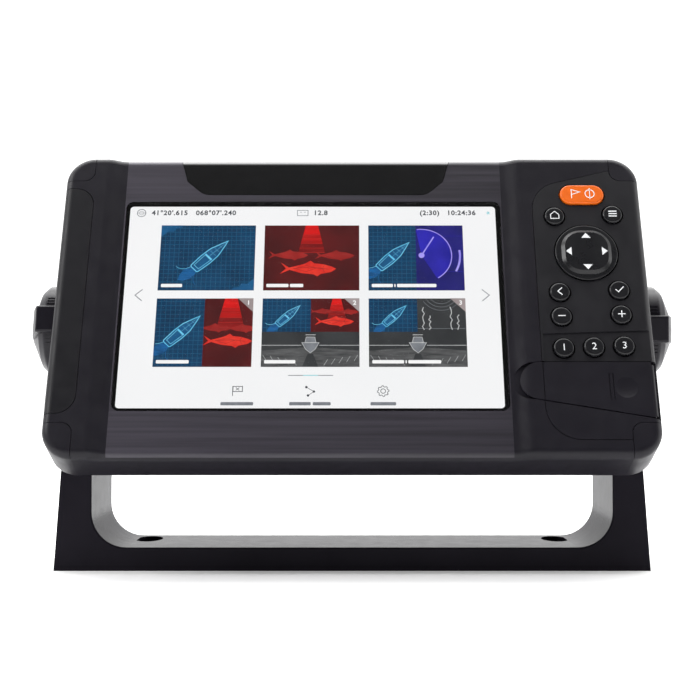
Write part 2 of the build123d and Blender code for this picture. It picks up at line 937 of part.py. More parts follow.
def ribbons():
    """Flat cables from the main board to the screen and to the keypad."""
    ribbon_z = active_z - ribbon_below_middle
    parts["lcd_ribbon"] = block(screen_x - ribbon_width / 2, screen_x + ribbon_width / 2,
                                wall_back_y + frame_depth, main_front,
                                ribbon_z - ribbon_thickness / 2, ribbon_z + ribbon_thickness / 2)
    keypad_back = board_front + keypad_board_thickness
    strip_x = keypad_x - flat_from_keypad
    strip_y = main_front - flat_above_board
    edge_x = screen_x + main_width / 2 - flat_from_edge
    low = main_z + flat_low
    high = low + flat_width
    down = block(strip_x, strip_x + flat_thickness, keypad_back, strip_y + flat_thickness,
                 low, high)
    across = block(edge_x, strip_x + flat_thickness, strip_y, strip_y + flat_thickness,
                   low, high)
    end = block(edge_x, edge_x + flat_thickness, strip_y, main_front, low, high)
    parts["keypad_ribbon"] = down + across + end


def antennas():
    """Satellite antenna under the case's top and the wireless one on its left side."""
    inner_top = case_height_above_axis - case_wall
    parts["gnss_antenna"] = block(screen_x - gnss_size / 2, screen_x + gnss_size / 2,
                                  gnss_front, gnss_front + gnss_size,
                                  inner_top - gnss_height, inner_top)
    inner_side = -case_half + case_wall
    wifi_top = case_height_above_axis - wifi_below_top
    parts["wifi_antenna"] = block(inner_side, inner_side + wifi_thickness,
                                  -wifi_length / 2, wifi_length / 2,
                                  wifi_top - wifi_height, wifi_top)


# ---------------------------------------------------------------- rear case
flange_front_y = rim_back_y - flange_thickness
power_x = screen_x - power_shift
sonar_x = screen_x + sonar_shift
vent_x = screen_x - vent_shift


def flange_outline():
    """Case flange: fits inside the rim and clears the corner pillars."""
    shape = rounded(0, head_middle, head_width - 2 * rim_wall - 2 * flange_clear,
                    head_height - 2 * rim_wall - 2 * flange_clear, head_corner - rim_wall)
    for x, z in screw_pillars():
        shape = shape - Pos(x, z) * Circle(pillar_radius + pillar_clear)
    return shape


def case_body(inset, y_back):
    """The case's box behind the flange, with rounded edges."""
    width = 2 * (case_half - inset)
    top = case_height_above_axis - inset
    bottom = -case_height_below_axis + inset
    outline = rounded(0, (top + bottom) / 2, width, top - bottom, case_corner - inset)
    body = slab(outline, flange_front_y, y_back)
    return fillet(body.faces().sort_by(Axis.Y)[-1].edges(), case_edge_round - inset)


def rear_case():
    case = slab(flange_outline(), flange_front_y, rim_back_y) + case_body(0, case_reach)
    for side in (LEFT, RIGHT):
        case = case + along_x(side * (case_half - boss_root), side * boss_end, boss_radius)
    hollow = case_body(case_wall, case_reach - case_wall)
    opening = Pos(0, main_z) * RectangleRounded(2 * (case_half - case_wall),
                                                case_height_above_axis + case_height_below_axis
                                                - 2 * case_wall, case_corner - case_wall)
    hollow = hollow + slab(opening, flange_front_y - 1, flange_front_y + 1)
    for side in (LEFT, RIGHT):
        hollow = hollow - along_x(side * (boss_end - insert_length - insert_wall),
                                  side * case_half, insert_radius + insert_wall)
    case = case - hollow
    for side in (LEFT, RIGHT):
        case = case - along_x(side * (boss_end - insert_length),
                              side * (boss_end + overshoot), insert_radius)
    for x, z in case_screw_places:
        case = case - disc(x, z, screw_shank + screw_clear, flange_front_y - 1, clear_back)
    for x, radius in ((power_x, power_collar_radius - inlet_hole_inset),
                      (sonar_x, sonar_collar_radius - inlet_hole_inset), (vent_x, vent_bore)):
        case = case - disc(x, inlet_z, radius, case_reach - 2 * case_wall, case_reach + 1)
    for step in range(fin_count):
        z = fin_top - step * fin_pitch
        case = case - block(-case_half + fin_inset, case_half - fin_inset,
                            case_reach - fin_depth, case_reach + 1,
                            z - fin_slot / 2, z + fin_slot / 2)
    return case


def case_seal():
    """Gasket squeezed between the case's flange and the rim, along the flange's edge."""
    outline = flange_outline()
    ring = outline - offset(outline, amount=-seal_width)
    seal = slab(ring, flange_front_y - seal_height, flange_front_y)
    for x, z in case_screw_places:
        seal = seal - disc(x, z, screw_boss_radius + 2 * close_gap,
                           flange_front_y - 2 * seal_height, flange_front_y)
    return seal


def case_screws():
    screws = []
    for x, z in case_screw_places:
        head_back = rim_back_y + screw_head_height
        shank = disc(x, z, screw_shank, flange_front_y - screw_bite, rim_back_y)
        head = disc(x, z, screw_head_radius, rim_back_y, head_back)
        slot = block(x - screw_slot_length / 2, x + screw_slot_length / 2,
                     head_back - screw_slot_depth, head_back + 1,
                     z - screw_slot_width / 2, z + screw_slot_width / 2)
        screws.append(shank + head - slot)
    return Compound(screws)


def inlet(x, collar_radius, bore, pin_count, name):
    """Round connector on the back, its contact pins and its nut inside the case."""
    outside = case_reach
    inside = case_reach - case_wall
    back = outside + collar_length
    floor_y = outside + socket_floor
    neck_radius = collar_radius - collar_wall
    collar = disc(x, inlet_z, collar_radius, outside, back)
    body = disc(x, inlet_z, neck_radius, inside - inlet_inside, outside)
    socket = disc(x, inlet_z, bore, floor_y, back + 1)
    thread_y = outside + thread_start
    groove = disc(x, inlet_z, collar_radius + 1, thread_y, thread_y + thread_width)
    core = disc(x, inlet_z, collar_radius - thread_depth, thread_y, thread_y + thread_width)
    shell = collar + body - socket - (groove - core)
    key = block(x - index_width / 2, x + index_width / 2, floor_y, back - 1,
                inlet_z + bore - index_proud, inlet_z + bore + index_sunk)
    parts[name + "_inlet"] = shell + key
    pins = []
    for step in range(pin_count):
        angle = 2 * math.pi * (step + 0.5) / pin_count
        px = x + bore * pin_ring * math.cos(angle)
        pz = inlet_z + bore * pin_ring * math.sin(angle)
        pins.append(disc(px, pz, contact_radius, floor_y, back - contact_short))
    ring = disc(x, inlet_z, collar_radius + nut_rim, inside - nut_height, inside)
    nut = ring - disc(x, inlet_z, neck_radius, inside - 2 * nut_height, inside + 1)
    return nut, pins


# ---------------------------------------------------------------- bracket and knobs
def bracket():
    """U-shaped bracket: level base, two arms that taper to an eye on the tilt axis."""
    slope_z = pivot_height - knob_hub_radius - 1.0
    foot = arm_outer + slope_z * math.tan(math.radians(arm_slope))
    top = pivot_height + eye_radius
    outline = Polyline((-foot, 0), (foot, 0), (arm_outer, slope_z), (arm_outer, top),
                       (arm_inner, top), (arm_inner, base_thickness),
                       (-arm_inner, base_thickness), (-arm_inner, top), (-arm_outer, top),
                       (-arm_outer, slope_z), close=True)
    front = make_face(outline)
    inner = [v for v in front.vertices() if abs(v.Y - base_thickness) < 0.01]
    front = fillet(inner, inner_corner)
    plane = Plane.XZ.offset(-bracket_depth / 2)
    frame = extrude(plane * front, amount=bracket_depth)
    half = bracket_depth / 2
    fall = pivot_height - arm_full_depth_height
    reach = math.hypot(half, fall)
    angle = math.atan2(fall, half) + math.acos(eye_radius / reach)
    tangent_y = eye_radius * math.cos(math.pi - angle)
    tangent_z = eye_radius * math.sin(math.pi - angle)
    side_line = [
        Polyline((-half, -1), (half, -1), (half, arm_full_depth_height),
                 (abs(tangent_y), pivot_height + tangent_z)),
        ThreePointArc((abs(tangent_y), pivot_height + tangent_z), (0, pivot_height + eye_radius),
                      (-abs(tangent_y), pivot_height + tangent_z)),
        Polyline((-abs(tangent_y), pivot_height + tangent_z), (-half, arm_full_depth_height),
                 (-half, -1)),
    ]
    side = make_face(Wire([edge for line in side_line for edge in line.edges()]))
    side_plane = Plane(origin=(-foot - 5, 0, 0), x_dir=(0, 1, 0), z_dir=(1, 0, 0))
    frame = frame & extrude(side_plane * side, amount=2 * foot + 10)
    frame = frame - along_x(-foot - 5, foot + 5, stud_radius + stud_in_arm, 0, pivot_height)
    for side_sign in (LEFT, RIGHT):
        x = side_sign * base_hole_spacing / 2
        recess = Pos(x, base_hole_y) * Ellipse(base_recess_width / 2, base_recess_length / 2)
        recess = extrude(Pos(0, 0, base_thickness) * recess, amount=-base_recess_depth)
        frame = frame - recess
        frame = frame - Pos(x, base_hole_y, 0) * Cylinder(base_hole_radius, 4 * base_thickness)
    level_edges = []
    for edge in frame.edges():
        box = edge.bounding_box()
        in_face = min(abs(box.min.Y), abs(box.max.Y)) > half - 0.01
        if in_face and edge.length > eye_radius / 2 and box.min.Z > 1:
            level_edges.append(edge)
    return fillet(level_edges, bracket_edge_round)


def knob_ribs():
    """Fine grip ribs on the rim, beside each end of the bar."""
    ribs = []
    length = knob_rim_height - 2 * rib_end
    first = math.degrees(math.asin(knob_bar_width / 2 / knob_radius)) + rib_pitch
    for end in (0, 180):
        for flank in (LEFT, RIGHT):
            for step in range(ribs_beside_bar):
                angle = end + flank * (first + step * rib_pitch)
                middle = Pos(knob_radius, 0, knob_rim_height / 2)
                rib = middle * Box(2 * rib_proud, rib_width, length)
                ribs.append(Rot(0, 0, angle) * rib)
    return ribs


def knob(side, turn):
    """Round knob with a low cone and an arched bar to turn it by, and its threaded stud."""
    back = half_width + knob_behind_gap
    hub_back = arm_outer + knob_behind_gap
    cone_top = knob_height - bar_above_cone
    profile = Polyline((0, 0), (knob_radius, 0), (knob_radius, knob_rim_height),
                       (knob_shoulder_radius, knob_shoulder_height),
                       (knob_crown_radius, cone_top), (0, cone_top), close=True)
    section = make_face(profile)
    high_rim = [v for v in section.vertices() if v.X > knob_crown_radius + 1 and v.Y > 1]
    section = fillet(high_rim, knob_high_round)
    low_rim = [v for v in section.vertices() if v.X > knob_radius - 0.1 and v.Y < 1]
    section = fillet(low_rim, knob_low_round)
    body = revolve(Plane.XZ * section, Axis.Z)
    half_bar = knob_radius + knob_bar_proud
    bar = Pos(0, 0, knob_height / 2) * Box(2 * half_bar, knob_bar_width, knob_height)
    arch_radius = (half_bar ** 2 + knob_bar_fall ** 2) / (2 * knob_bar_fall)
    arch = Pos(0, 0, knob_height - arch_radius) * Rot(90, 0, 0)
    bar = bar & arch * Cylinder(arch_radius, 2 * knob_bar_width)
    bar = fillet(bar.edges().filter_by(Axis.Z), bar_corner_round)
    bar = fillet(bar.edges().sort_by(Axis.Z)[-3:], bar_edge_round)
    hub_length = back - hub_back
    hub = Pos(0, 0, -hub_length / 2) * Cylinder(knob_hub_radius, hub_length)
    cap = body + hub
    turned = Rot(0, 0, 90 + turn)
    for piece in [bar] + knob_ribs():
        cap = cap + turned * piece
    socket = Pos(0, 0, (socket_depth - hub_length) / 2)
    socket = socket * Cylinder(stud_radius, socket_depth + hub_length)
    place = Pos(side * back, 0, 0) * Rot(0, side * 90, 0)
    stud = along_x(side * (boss_end - stud_reach), side * hub_back, stud_radius)
    return place * (cap - socket), stud + place * socket


def insert(side):
    """Brass insert in the case's boss, with the bore that the stud screws into."""
    body = along_x(side * (boss_end - insert_length), side * boss_end, insert_radius)
    bore = along_x(side * (boss_end - stud_reach - stud_end_gap), side * (boss_end + 1),
                   stud_radius + stud_fit)
    return body - bore


def washer(side):
    ring = along_x(side * (arm_inner - washer_thickness), side * arm_inner, washer_radius)
    hole = along_x(side * (arm_inner - washer_thickness - 1), side * (arm_inner + 1),
                   stud_radius + stud_in_arm)
    return ring - hole


# ---------------------------------------------------------------- assemble and write
parts["front_bezel"] = front_bezel()
parts["fascia"] = fascia()
parts["brand_plate"] = skin(brand_outline(), brand_back)
parts["side_pad"] = skin(pad_outline(), cap_back)
corner_caps()
parts["keypad_panel"] = keypad_panel()
parts["keypad_mat"] = keypad_mat()
parts["keypad_board"] = keypad_board()
parts["key_switches"] = key_switches()
parts["waypoint_key"] = waypoint_key()
for key_name, key_x, key_z in key_places():
    parts[key_name] = round_key(key_x, key_z)
parts["dpad"] = dpad()
parts["dpad_spider"] = dpad_spider()
parts["card_door"] = card_door()
parts["door_pin"] = hinge_barrel(pin_radius, hinge_low - moving_gap, hinge_high + moving_gap)
parts["door_seal"] = door_seal()
parts["card_reader"] = card_reader()
screen_pieces()
main_board()
ribbons()
antennas()
parts["rear_case"] = rear_case()
parts["case_seal"] = case_seal()
parts["case_screws"] = case_screws()
power_nut, power_pins = inlet(power_x, power_collar_radius, power_collar_bore, 4, "power")
sonar_nut, sonar_pins = inlet(sonar_x, sonar_collar_radius, sonar_collar_bore, 7, "sonar")
parts["connector_nuts"] = Compound([power_nut, sonar_nut])
parts["contact_pins"] = Compound(power_pins + sonar_pins)
parts["breather_vent"] = disc(vent_x, inlet_z, vent_radius, case_reach, case_reach + vent_height)
parts["pivot_inserts"] = Compound([insert(LEFT), insert(RIGHT)])
parts["knob_left"], parts["knob_stud_left"] = knob(LEFT, knob_left_turn)
parts["knob_right"], parts["knob_stud_right"] = knob(RIGHT, knob_right_turn)

head_place = Pos(0, 0, pivot_height) * Rot(-lean, 0, 0)
fixed = {
    "bracket": bracket(),
    "pivot_washers": Pos(0, 0, pivot_height) * Compound([washer(LEFT), washer(RIGHT)]),
}

os.makedirs("parts", exist_ok=True)
for name, shape in parts.items():
    export_step(head_place * shape, "parts/" + name + ".step")
for name, shape in fixed.items():
    export_step(shape, "parts/" + name + ".step")
print("head", round(head_width, 2), "x", round(head_height, 2))
print("tilt axis height", round(pivot_height, 2))
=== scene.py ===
import json
import math

import bmesh
import bpy
from mathutils import Matrix, Vector


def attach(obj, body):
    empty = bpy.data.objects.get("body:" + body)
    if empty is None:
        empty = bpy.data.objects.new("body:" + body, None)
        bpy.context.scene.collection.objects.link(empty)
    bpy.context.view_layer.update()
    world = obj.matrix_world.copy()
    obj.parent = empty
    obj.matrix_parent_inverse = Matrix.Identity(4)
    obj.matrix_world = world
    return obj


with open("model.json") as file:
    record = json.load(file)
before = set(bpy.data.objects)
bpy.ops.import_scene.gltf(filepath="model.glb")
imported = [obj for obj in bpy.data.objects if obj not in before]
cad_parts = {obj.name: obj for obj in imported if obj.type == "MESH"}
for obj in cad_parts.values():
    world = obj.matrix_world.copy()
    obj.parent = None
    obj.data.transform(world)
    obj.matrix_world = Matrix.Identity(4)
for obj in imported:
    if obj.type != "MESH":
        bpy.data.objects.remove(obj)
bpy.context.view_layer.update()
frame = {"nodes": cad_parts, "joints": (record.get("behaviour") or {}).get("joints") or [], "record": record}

MM = 0.001

# ---------------------------------------------------------------- the head's own frame
# Head coordinates are millimetres from the middle of the tilt axis: x to the right,
# y into the head at right angles to its face, z up along the face.
JOINTS = {joint["name"]: joint for joint in frame["joints"]}
PIVOT = Vector(JOINTS["tilt"]["pos_m"])
INWARD = Vector(JOINTS["home_key_press"]["axis"]).normalized()
ACROSS = Vector((1, 0, 0))
UPWARD = ACROSS.cross(INWARD)
HEAD = Matrix.Translation(PIVOT) @ Matrix((ACROSS, INWARD, UPWARD)).transposed().to_4x4()
HEAD_MM = HEAD @ Matrix.Scale(MM, 4)
TO_HEAD_MM = HEAD_MM.inverted()


def head_box(node):
    """Lowest and highest corner of a CAD node in head coordinates."""
    points = [TO_HEAD_MM @ v.co for v in frame["nodes"][node].data.vertices]
    low = Vector(min(p[i] for p in points) for i in range(3))
    high = Vector(max(p[i] for p in points) for i in range(3))
    return low, high


# ---------------------------------------------------------------- materials
def srgb(red, green, blue):
    """A display colour, 0 to 255, as linear light."""
    values = []
    for channel in (red, green, blue):
        c = channel / 255
        values.append(c / 12.92 if c <= 0.04045 else ((c + 0.055) / 1.055) ** 2.4)
    return (*values, 1.0)


def new_material(name):
    """A material with its node tree, links and shader."""
    material = bpy.data.materials.new(name)
    material.use_nodes = True
    nodes = material.node_tree.nodes
    shader = nodes.get("Principled BSDF")
    return material, nodes, material.node_tree.links, shader


def noise(nodes, links, scale, detail, stretch=(1, 1, 1)):
    """Noise in object space, whose scale is in cells per metre."""
    coords = nodes.new("ShaderNodeTexCoord")
    mapping = nodes.new("ShaderNodeMapping")
    mapping.inputs["Scale"].default_value = stretch
    texture = nodes.new("ShaderNodeTexNoise")
    texture.inputs["Scale"].default_value = scale
    texture.inputs["Detail"].default_value = detail
    links.new(coords.outputs["Object"], mapping.inputs["Vector"])
    links.new(mapping.outputs["Vector"], texture.inputs["Vector"])
    return texture.outputs["Fac"]


NOISE_LOW = 0.3
NOISE_HIGH = 0.7


def spread(nodes, links, source, low, high):
    """Turns a 0 to 1 pattern into a range, using the middle of the noise."""
    node = nodes.new("ShaderNodeMapRange")
    node.inputs["From Min"].default_value = NOISE_LOW
    node.inputs["From Max"].default_value = NOISE_HIGH
    node.inputs["To Min"].default_value = low
    node.inputs["To Max"].default_value = high
    links.new(source, node.inputs["Value"])
    return node.outputs["Result"]


def blend_colours(nodes, links, source, low, high):
    """Turns a 0 to 1 pattern into a colour between two."""
    ramp = nodes.new("ShaderNodeValToRGB")
    ramp.color_ramp.elements[0].position = NOISE_LOW
    ramp.color_ramp.elements[1].position = NOISE_HIGH
    ramp.color_ramp.elements[0].color = low
    ramp.color_ramp.elements[1].color = high
    links.new(source, ramp.inputs["Fac"])
    return ramp.outputs["Color"]


def add_bump(nodes, links, shader, source, depth_mm):
    """Relief of a given depth from a pattern."""
    bump = nodes.new("ShaderNodeBump")
    bump.inputs["Distance"].default_value = depth_mm * MM
    bump.inputs["Strength"].default_value = 1.0
    links.new(source, bump.inputs["Height"])
    links.new(bump.outputs["Normal"], shader.inputs["Normal"])


def shade(colour, factor):
    return (colour[0] * factor, colour[1] * factor, colour[2] * factor, 1.0)


def moulded(name, colour, rough, grain_mm=0.35, depth_mm=0.012, variation=0.12, coat=0.0,
            shine=0.38, flecks=0.05):
    """Moulded plastic: a fine spark-eroded grain, with slight clouding of colour and gloss."""
    material, nodes, links, shader = new_material(name)
    cloud = noise(nodes, links, 35, 3)
    tint = blend_colours(nodes, links, cloud, shade(colour, 1 - variation),
                         shade(colour, 1 + variation))
    links.new(tint, shader.inputs["Base Color"])
    wear = noise(nodes, links, 160, 6)
    links.new(spread(nodes, links, wear, rough - flecks, rough + flecks),
              shader.inputs["Roughness"])
    grain = noise(nodes, links, 1 / (grain_mm * MM), 2)
    add_bump(nodes, links, shader, grain, depth_mm)
    shader.inputs["Specular IOR Level"].default_value = shine
    shader.inputs["Coat Weight"].default_value = coat
    shader.inputs["Coat Roughness"].default_value = 0.15
    return material


# These set where the painted light on the brushed fascia is lightest (left) and darkest (right), in metres
# along X, and how much of that painted light is mixed with the streaks.
PAINTED_LIGHT_LEFT = -0.09
PAINTED_LIGHT_RIGHT = 0.07
PAINTED_LIGHT_SHARE = 0.42


def painted_light_ramp(nodes, links):
    """Painted light: a value that falls gently from the head's left to its right, as if lit from the left.
    """
    place = nodes.new("ShaderNodeTexCoord")
    split = nodes.new("ShaderNodeSeparateXYZ")
    links.new(place.outputs["Object"], split.inputs[0])
    ramp = nodes.new("ShaderNodeMapRange")
    links.new(split.outputs["X"], ramp.inputs["Value"])
    ramp.inputs["From Min"].default_value = PAINTED_LIGHT_RIGHT
    ramp.inputs["From Max"].default_value = PAINTED_LIGHT_LEFT
    ramp.inputs["To Min"].default_value = 0.25
    ramp.inputs["To Max"].default_value = 0.7
    return ramp.outputs["Result"]


def brushed(name, colour, rough, metallic, depth_mm=0.01):
    """Fine parallel brushing along X, with long streaks, and painted light that makes it a little lighter at
    the left.
    """
    material, nodes, links, shader = new_material(name)
    lines = noise(nodes, links, 60, 5, stretch=(0.25, 70, 70))
    streaks = noise(nodes, links, 22, 4, stretch=(0.5, 30, 30))
    mixed = nodes.new("ShaderNodeMix")
    mixed.inputs["Factor"].default_value = PAINTED_LIGHT_SHARE
    links.new(streaks, mixed.inputs["A"])
    # painted light: the left-to-right gradient is mixed into the fascia's colour
    links.new(painted_light_ramp(nodes, links), mixed.inputs["B"])
    tint = blend_colours(nodes, links, mixed.outputs["Result"], shade(colour, 0.5),
                         shade(colour, 1.5))
    links.new(tint, shader.inputs["Base Color"])
    links.new(spread(nodes, links, lines, rough - 0.08, rough + 0.08), shader.inputs["Roughness"])
    add_bump(nodes, links, shader, lines, depth_mm)
    shader.inputs["Metallic"].default_value = metallic
    return material


def metal(name, colour, rough):
    """Turned or plated metal with faint marks."""
    material, nodes, links, shader = new_material(name)
    marks = noise(nodes, links, 400, 6, stretch=(1, 3, 1))
    links.new(blend_colours(nodes, links, marks, shade(colour, 0.85), shade(colour, 1.05)),
              shader.inputs["Base Color"])
    links.new(spread(nodes, links, marks, rough - 0.07, rough + 0.1), shader.inputs["Roughness"])
    add_bump(nodes, links, shader, marks, 0.01)
    shader.inputs["Metallic"].default_value = 1.0
    return material


def lit(name, low, high, scale, stretch=(1, 1, 1)):
    """A lit area of the display, with a faint pattern between two colours."""
    material, nodes, links, shader = new_material(name)
    pattern = noise(nodes, links, scale, 3, stretch=stretch)
    tint = blend_colours(nodes, links, pattern, low, high)
    shader.inputs["Base Color"].default_value = (0.01, 0.01, 0.01, 1)
    shader.inputs["Roughness"].default_value = 0.4
    shader.inputs["Specular IOR Level"].default_value = 0.0
    links.new(tint, shader.inputs["Emission Color"])
    shader.inputs["Emission Strength"].default_value = 1.0
    return material


def print_ink(name, colour, painted_glow=0.0):
    """Screen-printed ink, slightly uneven, with an optional painted glow that makes it brighter than the
    lamps alone would.
    """
    material, nodes, links, shader = new_material(name)
    patches = noise(nodes, links, 900, 3)
    links.new(blend_colours(nodes, links, patches, shade(colour, 0.9), colour),
              shader.inputs["Base Color"])
    links.new(spread(nodes, links, patches, 0.45, 0.6), shader.inputs["Roughness"])
    shader.inputs["Emission Color"].default_value = colour
    shader.inputs["Emission Strength"].default_value = painted_glow
    return material


def clear_glass(name):
    """Bonded front glass, with very faint smears in its gloss."""
    material, nodes, links, shader = new_material(name)
    smears = noise(nodes, links, 90, 5, stretch=(1, 2, 1))
    links.new(spread(nodes, links, smears, 0.0, 0.035), shader.inputs["Roughness"])
    shader.inputs["Base Color"].default_value = (1, 1, 1, 1)
    shader.inputs["Transmission Weight"].default_value = 1.0
    shader.inputs["IOR"].default_value = 1.45
    return material


GRIP = moulded("grip_plastic", srgb(24, 22, 29), 0.42, shine=0.26)
PAD = moulded("pad_plastic", srgb(16, 15, 20), 0.46, grain_mm=0.45, depth_mm=0.016, shine=0.26)
CASE = moulded("case_plastic", srgb(25, 23, 29), 0.5, grain_mm=0.5, depth_mm=0.02)
PANEL = moulded("panel_plastic", srgb(19, 18, 23), 0.45)
BRACKET = moulded("bracket_plastic", srgb(33, 31, 37), 0.22, grain_mm=1.2, depth_mm=0.0004,
                  shine=0.02, flecks=0.02)
KNOB = moulded("knob_plastic", srgb(24, 22, 29), 0.34, grain_mm=0.4, depth_mm=0.006,
               shine=0.24)
KEY = moulded("key_plastic", srgb(22, 22, 25), 0.3, grain_mm=0.3, depth_mm=0.003)
ORANGE = moulded("waypoint_plastic", srgb(234, 104, 16), 0.38, grain_mm=0.3, depth_mm=0.005,
                 variation=0.05)
GLOSS = moulded("gloss_black", srgb(16, 16, 17), 0.14, grain_mm=0.8, depth_mm=0.002, coat=0.6)
# The fascia's colour carries painted light, lighter at the left.
FASCIA = brushed("fascia_finish", srgb(57, 54, 62), 0.38, 0.2)
RUBBER = moulded("black_rubber", srgb(24, 24, 25), 0.75, grain_mm=0.3, depth_mm=0.02)
SILICONE = moulded("grey_silicone", srgb(96, 97, 100), 0.6)
BOARD = moulded("green_board", srgb(20, 84, 46), 0.4, grain_mm=0.2)
CHIP = moulded("chip_package", srgb(28, 28, 30), 0.55)
CERAMIC = moulded("ceramic", srgb(214, 208, 192), 0.5)
FILM = moulded("amber_film", srgb(176, 112, 34), 0.35)
DISPLAY = moulded("display_panel", srgb(60, 64, 70), 0.2)
STEEL = metal("stainless_steel", srgb(196, 196, 198), 0.3)
TIN = metal("tinned_steel", srgb(186, 187, 188), 0.38)
ALUMINIUM = metal("sheet_aluminium", srgb(206, 207, 209), 0.36)
BRASS = metal("turned_brass", srgb(214, 174, 92), 0.28)
GOLD = metal("plated_pins", srgb(236, 196, 110), 0.22)
GLASS = clear_glass("front_glass")
# The white ink on the keys has a painted glow of strength 0.12.
WHITE_INK = print_ink("white_ink", srgb(236, 238, 240), 0.12)
BLACK_BORDER = moulded("glass_border", srgb(7, 7, 8), 0.3, grain_mm=2.0, depth_mm=0.0001,
                       shine=0.1, flecks=0.01)

FINISH = {
    "bracket_plastic": BRACKET, "rubber": RUBBER, "case_plastic": CASE,
    "fascia_finish": FASCIA, "brand_gloss": GLOSS, "panel_plastic": PANEL,
    "key_plastic": KEY, "waypoint_plastic": ORANGE, "silicone": SILICONE, "glass": GLASS,
    "display": DISPLAY, "tinned_steel": TIN, "aluminium": ALUMINIUM, "board": BOARD,
    "chip": CHIP, "ceramic": CERAMIC, "film": FILM, "brass": BRASS, "gold_pins": GOLD,
    "stainless": STEEL, "knob_plastic": KNOB,
}
SPECIAL = {"front_bezel": GRIP, "side_pad": PAD, "card_door": GRIP}


def finish_cad_nodes():
    """Every carried-over CAD node takes the material of its slot in the record."""
    for entry in frame["record"]["subparts"]:
        node = entry["node"]
        material = SPECIAL.get(node, FINISH[entry["material_slot"]])
        if node.startswith("corner_cap"):
            material = GRIP
        mesh = frame["nodes"][node].data
        mesh.materials.clear()
        mesh.materials.append(material)


finish_cad_nodes()


# ---------------------------------------------------------------- flat shapes on the face
def circle(x, z, radius, steps=32, start=0.0, end=360.0):
    """Points round a circle or along an arc, in degrees from +x."""
    whole = abs(end - start) >= 360
    count = steps if whole else steps + 1
    points = []
    for step in range(count):
        angle = math.radians(start + (end - start) * step / steps)
        points.append((x + radius * math.cos(angle), z + radius * math.sin(angle)))
    return points


def rectangle(x0, z0, x1, z1):
    return [(x0, z0), (x1, z0), (x1, z1), (x0, z1)]


def rounded_rectangle(x0, z0, x1, z1, radius, steps=6):
    points = []
    for cx, cz, start in ((x1 - radius, z0 + radius, -90), (x1 - radius, z1 - radius, 0),
                          (x0 + radius, z1 - radius, 90), (x0 + radius, z0 + radius, 180)):
        points += circle(cx, cz, radius, steps, start, start + 90)
    return points


def moved(points, dx=0.0, dz=0.0, scale=1.0, turn=0.0):
    """Scales, turns (degrees) and then shifts an outline."""
    c = math.cos(math.radians(turn)) * scale
    s = math.sin(math.radians(turn)) * scale
    return [(dx + x * c - z * s, dz + x * s + z * c) for x, z in points]


def stroke(points, width, closed=False):
    """Two edges of a line of the given width, mitred at its corners."""
    left, right = [], []
    count = len(points)
    for i, point in enumerate(points):
        here = Vector(point)
        before = Vector(points[i - 1]) if closed or i > 0 else None
        after = Vector(points[(i + 1) % count]) if closed or i < count - 1 else None
        run_in = (here - before).normalized() if before is not None else None
        run_out = (after - here).normalized() if after is not None else None
        if run_in is None:
            run_in = run_out
        if run_out is None:
            run_out = run_in
        direction = (run_in + run_out).normalized()
        side = Vector((-direction.y, direction.x))
        reach = width / 2 / max(0.4, side.dot(Vector((-run_in.y, run_in.x))))
        left.append(here + side * reach)
        right.append(here - side * reach)
    return left, right


class Print:
    """Thin closed shapes at one depth on the head, gathered into one mesh."""

    def __init__(self, name, depth, thickness):
        self.name = name
        self.depth = depth
        self.thickness = thickness
        self.mesh = bmesh.new()

    def place(self, x, z, back):
        y = self.depth + (self.thickness if back else 0.0)
        return self.mesh.verts.new(HEAD_MM @ Vector((x, y, z)))

    def face(self, corners):
        try:
            self.mesh.faces.new(corners)
        except ValueError:
            pass

    def fill(self, points):
        """A closed outline, anticlockwise as the user sees it."""
        front = [self.place(x, z, False) for x, z in points]
        back = [self.place(x, z, True) for x, z in points]
        self.face(front)
        self.face(list(reversed(back)))
        for i in range(len(points)):
            j = (i + 1) % len(points)
            self.face([front[j], front[i], back[i], back[j]])

    def band(self, outer, inner, closed=True):
        """The area between two lines with as many points each."""
        rows = [[self.place(x, z, back) for x, z in line]
                for line, back in ((outer, False), (inner, False), (outer, True), (inner, True))]
        front_out, front_in, back_out, back_in = rows
        count = len(outer)
        last = count if closed else count - 1
        for i in range(last):
            j = (i + 1) % count
            self.face([front_out[i], front_out[j], front_in[j], front_in[i]])
            self.face([back_out[j], back_out[i], back_in[i], back_in[j]])
            self.face([front_out[j], front_out[i], back_out[i], back_out[j]])
            self.face([front_in[i], front_in[j], back_in[j], back_in[i]])
        if not closed:
            for i in (0, count - 1):
                self.face([front_out[i], front_in[i], back_in[i], back_out[i]])

    def line(self, points, width, closed=False):
        """A line of a given width through some points."""
        left, right = stroke(points, width, closed)
        self.band([(p.x, p.y) for p in right], [(p.x, p.y) for p in left], closed)

    def text(self, words, x, z, size, centred=False, weight=0.0, spacing=1.0):
        """Numerals and signs in Blender's own plain typeface."""
        curve = bpy.data.curves.new("numerals", "FONT")
        curve.body = words
        curve.size = size
        curve.offset = weight
        curve.space_character = spacing
        curve.align_x = "CENTER" if centred else "LEFT"
        curve.resolution_u = 3
        holder = bpy.data.objects.new("numerals", curve)
        bpy.context.scene.collection.objects.link(holder)
        flat = bpy.data.meshes.new_from_object(holder)
        bpy.data.objects.remove(holder)
        letters = bmesh.new()
        letters.from_mesh(flat)
        made = {v: self.place(x + v.co.x, z + v.co.y, False) for v in letters.verts}
        under = {v: self.place(x + v.co.x, z + v.co.y, True) for v in letters.verts}
        for face in letters.faces:
            self.face([made[v] for v in face.verts])
            self.face([under[v] for v in reversed(face.verts)])
        for edge in letters.edges:
            if edge.is_boundary:
                a, b = edge.verts
                self.face([made[a], made[b], under[b], under[a]])
        letters.free()
        bpy.data.meshes.remove(flat)

    def build(self, material, body, slot):
        """Makes the piece, which rides on a body."""
        bmesh.ops.recalc_face_normals(self.mesh, faces=self.mesh.faces)
        data = bpy.data.meshes.new(self.name)
        self.mesh.to_mesh(data)
        self.mesh.free()
        data.materials.append(material)
        piece = bpy.data.objects.new(self.name, data)
        bpy.context.scene.collection.objects.link(piece)
        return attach(piece, body)


